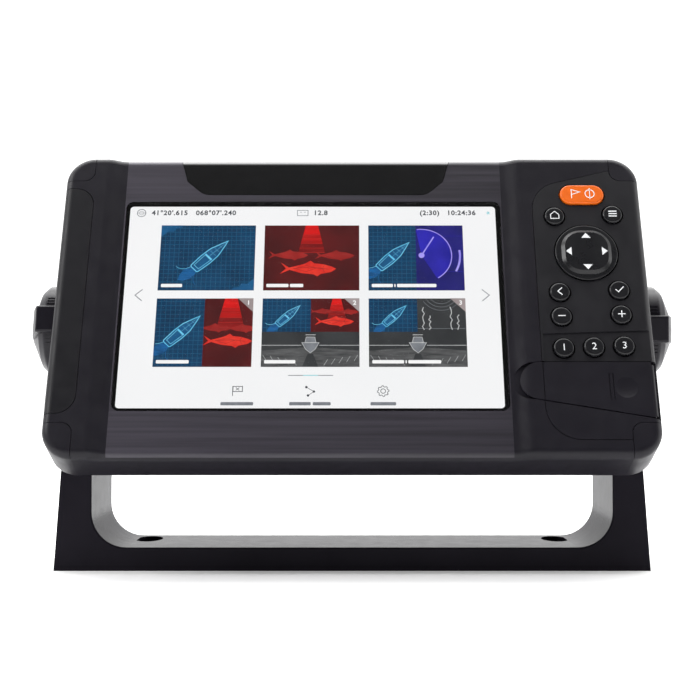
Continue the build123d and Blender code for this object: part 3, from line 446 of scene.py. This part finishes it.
# ---------------------------------------------------------------- the lit page
GLASS_LOW, GLASS_HIGH = head_box("cover_glass")
LCD_LOW, LCD_HIGH = head_box("lcd_panel")
LCD_EDGE = 4.7
ACTIVE_LEFT = LCD_LOW.x + LCD_EDGE
ACTIVE_RIGHT = LCD_HIGH.x - LCD_EDGE
ACTIVE_LOW = LCD_LOW.z + LCD_EDGE
ACTIVE_HIGH = LCD_HIGH.z - LCD_EDGE
PAGE_WIDTH = ACTIVE_RIGHT - ACTIVE_LEFT
PAGE_HEIGHT = ACTIVE_HIGH - ACTIVE_LOW
PAGE_DEPTH = GLASS_HIGH.y + 0.25
LAYER = 0.04
LAYER_THICKNESS = 0.03

PAGE_SPILL = 0.25
PAGE_CORNER = 1.5
TEXT_SIZE = 3.1
TEXT_WEIGHT = 0.028
TEXT_SPACING = 1.12
TEXT_DROP = 0.95
TILE_WIDTH = 39.15
TILE_HEIGHT = 30.6
TILE_PITCH = 42.9
TILE_LEFT = 13.3
TILE_ROWS = (52.0, 17.7)
GRID_PITCH = 1.95
GRID_LINE = 0.17
BOAT_TURN = 44
BEAM_DEPTH = 13.0
BEAM_HALF = 2.5
BEAM_SPREAD = 3.0
CAPTION_LEFT = 1.3
CAPTION_LOW = 1.4
CAPTION_HEIGHT = 1.5
CAPTION_GAP = 0.6

NAVY = lit("ui_navy", srgb(8, 50, 82), srgb(12, 64, 102), 90)
GRID_BLUE = lit("ui_grid", srgb(22, 86, 122), srgb(30, 98, 136), 90)
MID_BLUE = lit("ui_mid_blue", srgb(20, 96, 158), srgb(30, 112, 176), 120)
HULL_BLUE = lit("ui_hull", srgb(18, 76, 118), srgb(26, 96, 146), 160)
WAKE_BLUE = lit("ui_wake", srgb(16, 70, 116), srgb(26, 104, 168), 260, stretch=(1, 1, 3))
CYAN = lit("ui_cyan", srgb(92, 196, 236), srgb(126, 214, 244), 200)
MAROON = lit("ui_maroon", srgb(66, 16, 18), srgb(92, 20, 22), 70)
BEAM_RED = lit("ui_beam", srgb(196, 14, 14), srgb(232, 22, 20), 300, stretch=(0.3, 1, 3))
BEAM_LOW = lit("ui_beam_low", srgb(160, 14, 14), srgb(196, 20, 18), 300, stretch=(0.3, 1, 3))
BEAM_FOOT = lit("ui_beam_foot", srgb(112, 14, 16), srgb(142, 20, 20), 300, stretch=(0.3, 1, 3))
FISH_RED = lit("ui_fish", srgb(214, 38, 30), srgb(238, 62, 46), 260)
DIM_RED = lit("ui_dim_fish", srgb(138, 28, 26), srgb(168, 40, 36), 260)
INDIGO = lit("ui_indigo", srgb(26, 26, 96), srgb(38, 34, 130), 60)
DIAL_BLUE = lit("ui_dial", srgb(34, 30, 148), srgb(46, 40, 186), 90)
LILAC = lit("ui_lilac", srgb(146, 134, 240), srgb(176, 164, 250), 200)
SLATE = lit("ui_slate", srgb(44, 46, 48), srgb(64, 66, 68), 60)
SEABED = lit("ui_seabed", srgb(62, 63, 64), srgb(98, 99, 100), 500, stretch=(0.3, 1, 2))
PALE_GREY = lit("ui_pale_grey", srgb(176, 178, 180), srgb(206, 208, 208), 400)
CORNER_GREY = lit("ui_corner", srgb(150, 138, 138), srgb(172, 160, 160), 90)
PAGE_WHITE = lit("ui_page", srgb(248, 249, 250), srgb(253, 253, 254), 12)
UI_WHITE = lit("ui_white", srgb(246, 246, 246), srgb(255, 255, 255), 300)
UI_GREY = lit("ui_grey", srgb(112, 116, 122), srgb(134, 138, 144), 300)
UI_DARK = lit("ui_dark", srgb(52, 56, 62), srgb(74, 78, 84), 300)
UI_TEAL = lit("ui_teal", srgb(120, 206, 214), srgb(150, 222, 228), 300)


class Page:
    """The page's layers, one mesh for each colour and level."""

    def __init__(self):
        self.layers = {}

    def layer(self, colour, level):
        key = (colour.name, level)
        if key not in self.layers:
            name = f"{colour.name}_{level}"
            sheet = Print(name, PAGE_DEPTH - LAYER * level, LAYER_THICKNESS)
            self.layers[key] = (sheet, colour)
        return self.layers[key][0]

    def build(self):
        for sheet, colour in self.layers.values():
            sheet.build(colour, "head", "display")


page = Page()


def at(points):
    """Page coordinates, from its lower left corner, as head coordinates."""
    return [(ACTIVE_LEFT + u, ACTIVE_LOW + w) for u, w in points]


def fill(colour, level, points):
    page.layer(colour, level).fill(at(points))


def line(colour, level, points, width, closed=False):
    page.layer(colour, level).line(at(points), width, closed)


def ring(colour, level, u, w, radius, width):
    line(colour, level, circle(u, w, radius, 28), width, True)


def words(colour, level, text, u, w, size):
    (x, z), = at([(u, w)])
    page.layer(colour, level).text(text, x, z, size, weight=TEXT_WEIGHT * size,
                                   spacing=TEXT_SPACING)


def clip(points, u0, w0, u1, w1):
    """Keeps an outline inside a rectangle."""
    for axis, limit, keep_low in ((0, u0, False), (0, u1, True), (1, w0, False), (1, w1, True)):
        kept = []
        for i, here in enumerate(points):
            before = points[i - 1]
            inside = here[axis] <= limit if keep_low else here[axis] >= limit
            was = before[axis] <= limit if keep_low else before[axis] >= limit
            if inside != was:
                t = (limit - before[axis]) / (here[axis] - before[axis])
                kept.append(tuple(before[k] + (here[k] - before[k]) * t for k in (0, 1)))
            if inside:
                kept.append(here)
        points = kept
        if not points:
            break
    return points


def inside_run(points, u0, w0, u1, w1):
    """The first stretch of a line that lies inside a rectangle."""
    kept = []
    for u, w in points:
        if u0 < u < u1 and w0 < w < w1:
            kept.append((u, w))
        elif kept:
            break
    return kept


BOAT = [(-9.4, -1.7), (-8.9, -2.1), (-3.0, -2.55), (2.0, -2.3), (6.2, -1.1), (9.6, 0.0),
        (6.2, 1.1), (2.0, 2.3), (-3.0, 2.55), (-8.9, 2.1), (-9.4, 1.7)]
WAKE = [(-9.2, -1.6), (-13.0, -2.4), (-16.2, -1.0), (-17.5, 0.8), (-15.6, 2.0), (-12.4, 2.6),
        (-9.2, 1.6)]
FISH = [(-11.4, 2.7), (-8.2, 0.5), (-3.8, 1.7), (-2.0, 2.3), (0.2, 3.6), (1.6, 2.4), (5.2, 2.0),
        (8.6, 0.9), (10.2, 0.0), (8.0, -1.5), (4.2, -2.3), (2.8, -3.4), (1.4, -2.5), (-3.6, -1.9),
        (-8.0, -0.5), (-11.8, -2.3), (-9.4, 0.1)]
COAST = [(0, 0), (9.5, 0), (8.2, -1.3), (6.0, -1.6), (5.2, -3.2), (2.8, -3.0), (1.0, -4.8), (0, -5.4)]


def grid(u0, w0, u1, w1):
    """Fine grid that stops short of the tile's edges."""
    for step in range(1, int((u1 - u0) / GRID_PITCH) + 1):
        u = u0 + step * GRID_PITCH
        if u < u1 - 0.2:
            line(GRID_BLUE, 2, [(u, w0), (u, w1)], GRID_LINE)
    for step in range(1, int((w1 - w0) / GRID_PITCH) + 1):
        w = w0 + step * GRID_PITCH
        if w < w1 - 0.2:
            line(GRID_BLUE, 2, [(u0, w), (u1, w)], GRID_LINE)


def chart_view(u0, w0, u1, w1, scale, boat_u, boat_w, coast=False):
    """Blue chart with a grid, a boat seen from above and its wake."""
    def boat_shape(points):
        return moved(points, boat_u, boat_w, scale, BOAT_TURN)

    fill(NAVY, 1, rectangle(u0, w0, u1, w1))
    grid(u0, w0, u1, w1)
    if coast:
        fill(HULL_BLUE, 3, [(u0 + x, w1 + z) for x, z in reversed(COAST)])
        fill(HULL_BLUE, 3, [(u1 - x, w0 - z) for x, z in reversed(COAST)])
    fill(WAKE_BLUE, 3, clip(boat_shape(WAKE), u0, w0, u1, w1))
    hull = boat_shape(BOAT)
    fill(HULL_BLUE, 4, hull)
    line(CYAN, 5, hull, 0.36 * max(scale, 0.7), True)
    deck = boat_shape([(-8.0, -1.3), (-1.6, -1.7), (-1.6, 1.7), (-8.0, 1.3)])
    line(CYAN, 5, deck, 0.2, True)
    for reach in (1.2, 3.4, 5.6):
        half = 1.9 - reach * 0.16
        line(CYAN, 5, boat_shape([(reach, -half), (reach, half)]), 0.08)
    line(CYAN, 6, boat_shape([(-1.2, 0.0), (8.6, 0.0)]), 0.08)
    line(CYAN, 6, boat_shape([(-1.2, -1.9), (-1.2, 1.9)]), 0.6 * scale)
    for side in (-1, 1):
        trail = [(-9.6, side * 1.6), (-11.2, side * 2.2), (-12.6, side * 3.2),
                 (-13.6, side * 4.6), (-13.8, side * 6.0)]
        kept = inside_run(boat_shape(trail), u0, w0, u1, w1)
        if len(kept) > 1:
            line(CYAN if side > 0 else MID_BLUE, 5, kept, 0.16)


def fish_view(u0, w0, u1, w1, beam_u, scale, main, others):
    """Dark red water with a bright beam and fish."""
    fill(MAROON, 1, rectangle(u0, w0, u1, w1))
    depth = BEAM_DEPTH * scale
    colours = (BEAM_RED, BEAM_RED, BEAM_LOW, BEAM_LOW, BEAM_FOOT, BEAM_FOOT)
    step_down = depth / len(colours)
    for step, colour in enumerate(colours):
        high = w1 - step_down * step
        low = high - step_down
        high_half = (BEAM_HALF + BEAM_SPREAD * step / len(colours)) * scale
        low_half = (BEAM_HALF + BEAM_SPREAD * (step + 1) / len(colours)) * scale
        fill(colour, 2, [(beam_u - low_half, low), (beam_u + low_half, low),
                         (beam_u + high_half, high), (beam_u - high_half, high)])
        line(FISH_RED, 3, [(beam_u - low_half, low), (beam_u + low_half, low)], 0.08)
    for u, w, size in others:
        fill(DIM_RED, 3, list(reversed(clip(moved(FISH, u, w, size), u0, w0, u1, w1))))
    u, w, size = main
    body = clip(moved(FISH, u, w, size), u0, w0, u1, w1)
    fill(FISH_RED, 4, list(reversed(body)))
    stripe = moved([(-6.5, 0.1), (-2.0, 0.5), (3.0, 0.3), (7.0, -0.2)], u, w, size)
    line(DIM_RED, 5, stripe, 0.16)
    gill = moved([(5.6, 1.7), (4.8, 0.2), (5.6, -1.6)], u, w, size)
    line(DIM_RED, 5, gill, 0.16)
    for side in (-1, 1):
        facet = moved([(-6.0, 0.1), (-1.5, side * 1.3), (2.6, 0.3)], u, w, size)
        line(DIM_RED, 6, facet, 0.1)


def dial_view(u0, w0, u1, w1):
    """Indigo view with a round dial and its needle."""
    fill(INDIGO, 1, rectangle(u0, w0, u1, w1))
    u, w, radius = u0 + 2.3, w0 + 16.3, 12.4
    sector = [(u, w)] + circle(u, w, radius, 24, -60, 100)
    fill(DIAL_BLUE, 2, clip(sector, u0, w0, u1, w1))
    line(LILAC, 3, circle(u, w, radius, 30, -58, 98), 0.4)
    line(LILAC, 3, circle(u, w, radius + 3.4, 12, -28, 9), 0.85)
    line(LILAC, 4, [(u, w), (u + 5.2, w + 8.8)], 0.55)
    fill(LILAC, 4, circle(u, w, 1.25, 20))
    for side in (9.2, -7.6):
        line(DIAL_BLUE, 2, [(u + 9, w + side), (u1, w + side)], 0.14)


def sonar_view(u0, w0, u1, w1):
    """Grey view: a boat from ahead, its beam and the streaked bottom."""
    fill(SLATE, 1, rectangle(u0, w0, u1, w1))
    level = w1 - 6.0
    u = (u0 + u1) / 2
    fill(SEABED, 2, [(u0, w0), (u1, w0), (u1, level - 2.4), (u + 5, level - 1.2), (u, level - 0.8),
                     (u - 5, level - 1.2), (u0, level - 2.4)])
    line(PALE_GREY, 3, [(u0, level), (u - 3.6, level)], 0.22)
    line(PALE_GREY, 3, [(u + 3.6, level), (u1, level)], 0.22)
    fill(SLATE, 3, [(u - 3.2, w0), (u + 3.2, w0), (u + 1.1, level - 3.8), (u - 1.1, level - 3.8)])
    hull = [(u - 3.4, level + 1.1), (u - 1.9, level - 1.8), (u, level - 3.4), (u + 1.9, level - 1.8),
            (u + 3.4, level + 1.1)]
    fill(UI_GREY, 4, hull)
    line(PALE_GREY, 5, hull, 0.24, True)
    cabin = [(u - 2.2, level + 1.2), (u + 2.2, level + 1.2), (u + 1.7, level + 3.6),
             (u - 1.7, level + 3.6)]
    fill(UI_GREY, 4, cabin)
    line(PALE_GREY, 5, cabin, 0.22, True)
    line(PALE_GREY, 5, [(u - 2.0, level + 4.6), (u + 2.0, level + 4.6)], 0.3)
    for side in (-1, 1):
        for step in range(5):
            near = u + side * (5.4 + 3.0 * step)
            low = w0 + 0.6 + 0.5 * step
            run = [(near, low), (near + side * 1.5, low + 2.6)]
            if u0 < near + side * 1.6 < u1:
                line(PALE_GREY, 3, run, 0.13)


def reed_view(u0, w0, u1, w1):
    """Grey view of weed on the bottom."""
    fill(SLATE, 1, rectangle(u0, w0, u1, w1))
    for step in range(3):
        half = 8.4 - 1.5 * step
        arc = circle((u0 + u1) / 2, w1 + 3.0, half, 14, -150, -30)
        line(UI_GREY, 2, [p for p in arc if p[1] < w1], 0.14)
    line(UI_GREY, 2, [(u0, w0 + 1.5), (u1, w0 + 1.5)], 0.16)
    for base, height in ((2.4, 10.2), (5.0, 6.4), (13.6, 10.4), (16.4, 6.8)):
        stem = []
        for step in range(8):
            sway = 0.45 * math.sin(step * 2.4 + base)
            stem.append((u0 + base + sway, w0 + 0.9 + height * step / 7))
        line(PALE_GREY, 3, stem, 0.34)


def corner_mark(u1, w1, numeral):
    """Folded corner with a number."""
    fill(CORNER_GREY, 6, [(u1 - 6.2, w1), (u1, w1 - 6.2), (u1, w1)])
    words(UI_WHITE, 7, numeral, u1 - 2.6, w1 - 2.9, 2.7)


def caption_bars(u0, w0, widths):
    """Plain bars where a tile's name would be."""
    u = u0 + CAPTION_LEFT
    w = w0 + CAPTION_LOW
    for width in widths:
        fill(UI_WHITE, 7, rounded_rectangle(u, w, u + width, w + CAPTION_HEIGHT, 0.35, 3))
        u += width + CAPTION_GAP


def tile(column, row):
    """Edges of a tile: left, low, right, high."""
    u0 = TILE_LEFT + TILE_PITCH * column
    w0 = TILE_ROWS[row]
    return u0, w0, u0 + TILE_WIDTH, w0 + TILE_HEIGHT


def tiles():
    """Two rows of three tiles, each with one to three views."""
    u0, w0, u1, w1 = tile(0, 0)
    chart_view(u0, w0, u1, w1, 1.0, u0 + 21.0, w0 + 16.4, True)
    caption_bars(u0, w0, (8.6,))
    u0, w0, u1, w1 = tile(1, 0)
    fish_view(u0, w0, u1, w1, u0 + 19.5, 1.0, (u0 + 19.0, w0 + 10.0, 1.05),
              ((u0 + 10.5, w0 + 16.4, 0.75), (u0 + 29.6, w0 + 16.2, 0.75)))
    caption_bars(u0, w0, (9.0, 5.4))
    u0, w0, u1, w1 = tile(2, 0)
    split = u0 + TILE_WIDTH / 2
    chart_view(u0, w0, split, w1, 0.92, u0 + 10.4, w0 + 16.2)
    dial_view(split, w0, u1, w1)
    caption_bars(u0, w0, (8.6, 0.5, 16.0))
    u0, w0, u1, w1 = tile(0, 1)
    split = u0 + TILE_WIDTH / 2
    chart_view(u0, w0, split, w1, 0.95, u0 + 11.3, w0 + 16.2)
    fish_view(split, w0, u1, w1, u0 + 30.2, 1.0, (u0 + 30.0, w0 + 11.4, 0.9),
              ((u0 + 24.0, w0 + 17.2, 0.6), (u0 + 35.0, w0 + 17.0, 0.6)))
    corner_mark(u1, w1, "1")
    caption_bars(u0, w0, (13.0,))
    u0, w0, u1, w1 = tile(1, 1)
    split = u0 + TILE_WIDTH / 2
    level = w0 + 15.5
    chart_view(u0, level, split, w1, 0.66, u0 + 10.6, level + 7.4)
    fish_view(split, level, u1, w1, u0 + 30.0, 0.66, (u0 + 29.6, level + 4.6, 0.72),
              ((u0 + 24.2, level + 9.2, 0.42), (u0 + 34.6, level + 9.0, 0.42)))
    sonar_view(u0, w0, u1, level)
    corner_mark(u1, w1, "2")
    caption_bars(u0, w0, (12.4,))
    u0, w0, u1, w1 = tile(2, 1)
    split = u0 + TILE_WIDTH / 2
    level = w0 + 15.5
    chart_view(u0, level, split, w1, 0.66, u0 + 10.6, level + 7.4)
    reed_view(split, level, u1, w1)
    sonar_view(u0, w0, u1, level)
    corner_mark(u1, w1, "3")
    caption_bars(u0, w0, (12.6, 0.5, 13.0))


def status_bar():
    """Globe, position, battery and clock along the top of the page."""
    w = 88.6
    low = w - TEXT_DROP
    ring(UI_GREY, 2, 4.5, w, 1.75, 0.3)
    line(UI_GREY, 2, [(2.9, w), (6.1, w)], 0.2)
    line(UI_GREY, 2, circle(4.5, w, 0.9, 20, 90, 270), 0.16)
    line(UI_GREY, 2, circle(4.5, w, 0.9, 20, -90, 90), 0.16)
    words(UI_DARK, 2, "41°20'.615", 8.8, low, TEXT_SIZE)
    words(UI_DARK, 2, "068°07'.240", 27.2, low, TEXT_SIZE)
    line(UI_GREY, 2, rectangle(69.6, w - 1.3, 74.0, w + 1.3), 0.26, True)
    line(UI_GREY, 2, [(70.6, w + 0.4), (71.4, w + 0.4)], 0.2)
    line(UI_GREY, 2, [(72.3, w + 0.4), (73.1, w + 0.4)], 0.2)
    words(UI_DARK, 2, "12.8", 76.3, low, TEXT_SIZE)
    words(UI_DARK, 2, "(2:30)", 120.6, low, TEXT_SIZE)
    words(UI_DARK, 2, "10:24:36", 132.0, low, TEXT_SIZE)
    for turn in (0, 60, 120):
        spoke = moved([(-0.8, 0), (0.8, 0)], 149.2, w, 1.0, turn)
        line(UI_TEAL, 2 + turn // 60, spoke, 0.25)


def page_arrows():
    """Arrows at both sides and the line that shows which page is open."""
    line(UI_GREY, 2, [(7.2, 52.4), (4.3, 49.8), (7.2, 47.2)], 0.34)
    line(UI_GREY, 2, [(145.2, 52.4), (148.1, 49.8), (145.2, 47.2)], 0.34)
    line(UI_GREY, 2, [(67.2, 14.0), (84.9, 14.0)], 0.3)
    line(UI_TEAL, 3, [(73.0, 14.0), (79.0, 14.0)], 0.34)


def bottom_icons():
    """Flag, route and gear, each over plain bars where its name would be."""
    flag_u, route_u, gear_u = 47.3, 75.9, 104.6
    line(UI_DARK, 2, [(flag_u - 1.8, 5.2), (flag_u - 1.8, 9.3)], 0.28)
    line(UI_DARK, 3, rectangle(flag_u - 1.7, 7.0, flag_u + 2.0, 9.2), 0.28, True)
    line(UI_DARK, 2, [(flag_u - 0.6, 7.5), (flag_u + 0.8, 8.7)], 0.22)
    line(UI_DARK, 4, [(flag_u - 0.6, 8.7), (flag_u + 0.8, 7.5)], 0.22)
    line(UI_DARK, 2, [(route_u - 1.5, 8.9), (route_u + 1.5, 7.0), (route_u - 0.8, 5.3)], 0.2)
    for du, w in ((-1.5, 8.9), (1.5, 7.0), (-0.8, 5.3)):
        fill(UI_DARK, 3, circle(route_u + du, w, 0.5, 14))
    teeth = []
    for step in range(32):
        radius = 2.3 if step % 4 in (0, 1) else 1.85
        angle = math.radians(360 * step / 32)
        teeth.append((gear_u + radius * math.cos(angle), 7.2 + radius * math.sin(angle)))
    line(UI_DARK, 2, teeth, 0.26, True)
    ring(UI_DARK, 3, gear_u, 7.2, 0.95, 0.26)
    for u, widths in ((flag_u, (12.8,)), (route_u, (8.4, 7.0)), (gear_u, (10.0,))):
        whole = sum(widths) + 0.8 * (len(widths) - 1)
        left = u - whole / 2
        for width in widths:
            fill(UI_GREY, 2, rounded_rectangle(left, 1.1, left + width, 2.5, 0.35, 3))
            left += width + 0.8


def screen():
    """The whole lit page."""
    fill(PAGE_WHITE, 0, rounded_rectangle(-PAGE_SPILL, -PAGE_SPILL, PAGE_WIDTH - PAGE_SPILL,
                                          PAGE_HEIGHT + PAGE_SPILL, PAGE_CORNER))
    tiles()
    status_bar()
    page_arrows()
    bottom_icons()
    page.build()


BORDER_DEPTH = 0.09
BORDER_THICKNESS = 0.05
BORDER_INSET = 0.15
BORDER_CORNER = 2.9


def glass_border():
    """Black border printed on the back of the glass round the lit page."""
    border = Print("glass_border", GLASS_HIGH.y - BORDER_DEPTH, BORDER_THICKNESS)
    inner = rounded_rectangle(ACTIVE_LEFT - PAGE_SPILL, ACTIVE_LOW - PAGE_SPILL,
                              ACTIVE_RIGHT - PAGE_SPILL, ACTIVE_HIGH + PAGE_SPILL, PAGE_CORNER)
    outer = rounded_rectangle(GLASS_LOW.x + BORDER_INSET, GLASS_LOW.z + BORDER_INSET,
                              GLASS_HIGH.x - BORDER_INSET, GLASS_HIGH.z - BORDER_INSET,
                              BORDER_CORNER)
    border.band(outer, inner)
    border.build(BLACK_BORDER, "head", "glass")


screen()
glass_border()


# ---------------------------------------------------------------- key markings
INK_PROUD = 0.03
INK_DEEP = 0.12


# Lines on a key: their points, in millimetres from the key's middle, width and whether closed
KEY_LINES = {
    "home_key": ([[(-1.7, -1.5), (1.7, -1.5), (1.7, 0.4), (0.0, 1.9), (-1.7, 0.4)]], 0.34, True),
    "menu_key": ([[(-1.7, level), (1.7, level)] for level in (-1.15, 0.0, 1.15)], 0.5, False),
    "back_key": ([[(0.8, 1.6), (-0.9, 0.0), (0.8, -1.6)]], 0.42, False),
    "ok_key": ([[(-1.6, 0.1), (-0.5, -1.1), (1.7, 1.3)]], 0.42, False),
    "minus_key": ([[(-1.5, 0), (1.5, 0)]], 0.4, False),
}
PLUS_REACH = 1.5
PLUS_HALF = 0.2
NUMERAL_SIZE = 4.2
NUMERAL_DROP = 1.45
ARROW_FOOT = 6.2
ARROW_TIP = 8.5
ARROW_HALF = 1.9


def key_print(node):
    """Sheet of ink on the front of a key, and the key's middle."""
    low, high = head_box(node)
    sheet = Print(node + "_mark", low.y - INK_PROUD, INK_DEEP)
    return sheet, (low.x + high.x) / 2, (low.z + high.z) / 2


def plus_sign():
    """Outline of a plus, one quarter at a time."""
    points = []
    for turn in (180, 270, 0, 90):
        quarter = [(PLUS_REACH, PLUS_HALF), (PLUS_HALF, PLUS_HALF), (PLUS_HALF, PLUS_REACH)]
        points += moved(quarter, turn=turn)
    return points


def mark_keys():
    """Generic signs and numerals printed on the keys and the four-way pad."""
    for node, (lines, width, closed) in KEY_LINES.items():
        sheet, x, z = key_print(node)
        for points in lines:
            sheet.line(moved(points, x, z), width, closed)
        sheet.build(WHITE_INK, node, "key_plastic")
    sheet, x, z = key_print("plus_key")
    sheet.fill(moved(plus_sign(), x, z))
    sheet.build(WHITE_INK, "plus_key", "key_plastic")
    for numeral in ("1", "2", "3"):
        node = "key_" + numeral
        sheet, x, z = key_print(node)
        sheet.text(numeral, x, z - NUMERAL_DROP, NUMERAL_SIZE, True)
        sheet.build(WHITE_INK, node, "key_plastic")
    sheet, x, z = key_print("waypoint_key")
    sheet.line(moved([(-4.4, -2.2), (-4.4, 2.0), (-0.9, 0.9), (-4.2, -0.3)], x, z), 0.36)
    sheet.line(circle(x + 3.2, z, 1.9, 28), 0.36, True)
    sheet.line([(x + 3.2, z - 2.7), (x + 3.2, z + 2.7)], 0.3)
    sheet.build(WHITE_INK, "waypoint_key", "waypoint_plastic")
    sheet, x, z = key_print("dpad")
    arrow = [(ARROW_FOOT, ARROW_HALF), (ARROW_FOOT, -ARROW_HALF), (ARROW_TIP, 0.0)]
    for turn in (0, 90, 180, 270):
        sheet.fill(moved(arrow, x, z, 1.0, turn))
    sheet.build(WHITE_INK, "dpad", "key_plastic")


mark_keys()


# ---------------------------------------------------------------- floor, light, camera
FLOOR_GLOW = 0.25
HALF_FLOOR = 4.0
FLOOR_ROWS = ((-7.0, -0.01), (-2.0, 0.0), (2.0, 0.0), (4.0, -0.002), (7.0, -0.01))


def floor_material():
    """Pale and faintly mottled, with a little light of its own to soften shadows."""
    material, nodes, links, shader = new_material("pale_floor")
    mottle = noise(nodes, links, 6, 3)
    links.new(blend_colours(nodes, links, mottle, (0.86, 0.86, 0.865, 1), (0.9, 0.9, 0.9, 1)),
              shader.inputs["Base Color"])
    shader.inputs["Roughness"].default_value = 0.85
    shader.inputs["Emission Color"].default_value = (1, 1, 1, 1)
    shader.inputs["Emission Strength"].default_value = FLOOR_GLOW
    return material


def stage():
    """A wide pale floor, ruled into strips that fall away very slightly at the two ends."""
    rows = []
    mesh = bmesh.new()
    for y, z in FLOOR_ROWS:
        rows.append([mesh.verts.new((side * HALF_FLOOR, y, z)) for side in (-1, 1)])
    for near, far in zip(rows, rows[1:]):
        mesh.faces.new([near[0], near[1], far[1], far[0]])
    data = bpy.data.meshes.new("floor")
    mesh.to_mesh(data)
    mesh.free()
    data.materials.append(floor_material())
    floor = bpy.data.objects.new("floor", data)
    bpy.context.scene.collection.objects.link(floor)


def soft_light(name, place, target, width, height, power):
    """A rectangular lamp aimed at a point."""
    lamp = bpy.data.lights.new(name, "AREA")
    lamp.shape = "RECTANGLE"
    lamp.size = width
    lamp.size_y = height
    lamp.energy = power
    holder = bpy.data.objects.new(name, lamp)
    holder.location = place
    aim = Vector(target) - Vector(place)
    holder.rotation_euler = aim.to_track_quat("-Z", "Y").to_euler()
    bpy.context.scene.collection.objects.link(holder)


BRIGHT_SIDE = (0.0, 1.0, 0.25)
DIM_SIDE = 0.12
BRIGHT_STRENGTH = 1.4
DIM_BELOW = -0.35
BRIGHT_ABOVE = 0.45

# Each lamp's place, target, width, height (metres) and power (watts)
PART_MIDDLE = (0, 0, 0.09)
LAMPS = {
    "key_light": ((-1.1, -0.35, 0.95), PART_MIDDLE, 0.6, 0.6, 9),
    "top_light": ((0.0, 0.25, 1.4), PART_MIDDLE, 1.6, 0.9, 16),
    "side_light": ((1.3, -0.1, 0.5), PART_MIDDLE, 0.4, 0.8, 3),
    "floor_light": ((0.0, 3.2, 2.6), (0.0, 3.2, 0.0), 6.0, 5.0, 170),
}


def studio():
    """White surroundings that dim towards the viewer's side, and four soft lamps."""
    world = bpy.data.worlds.new("studio")
    world.use_nodes = True
    nodes = world.node_tree.nodes
    links = world.node_tree.links
    background = nodes["Background"]
    background.inputs["Color"].default_value = (1.0, 1.0, 1.0, 1)
    coords = nodes.new("ShaderNodeTexCoord")
    facing = nodes.new("ShaderNodeVectorMath")
    facing.operation = "DOT_PRODUCT"
    facing.inputs[1].default_value = BRIGHT_SIDE
    strength = nodes.new("ShaderNodeMapRange")
    strength.inputs["From Min"].default_value = DIM_BELOW
    strength.inputs["From Max"].default_value = BRIGHT_ABOVE
    strength.inputs["To Min"].default_value = DIM_SIDE
    strength.inputs["To Max"].default_value = BRIGHT_STRENGTH
    links.new(coords.outputs["Generated"], facing.inputs[0])
    links.new(facing.outputs["Value"], strength.inputs["Value"])
    links.new(strength.outputs["Result"], background.inputs["Strength"])
    bpy.context.scene.world = world
    for name, settings in LAMPS.items():
        soft_light(name, *settings)
    bpy.context.scene.view_settings.view_transform = "Standard"


CAMERA_PLACE = (0.0, -0.602, 0.0744)
CAMERA_RISE = 1.54
LENS_MM = 72.7
SENSOR_MM = 36.0
SIDE_SHIFT = -0.003


def camera():
    """Level with the bracket's arms, in front of the screen."""
    lens = bpy.data.cameras.new("camera")
    lens.lens = LENS_MM
    lens.sensor_width = SENSOR_MM
    lens.shift_x = SIDE_SHIFT
    lens.clip_start = 0.01
    view = bpy.data.objects.new("camera", lens)
    view.location = CAMERA_PLACE
    view.rotation_euler = (math.radians(90 + CAMERA_RISE), 0, 0)
    bpy.context.scene.collection.objects.link(view)
    bpy.context.scene.camera = view


stage()
studio()
camera()

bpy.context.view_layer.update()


def corners(box):
    return [[float(value) for value in corner] for corner in box]
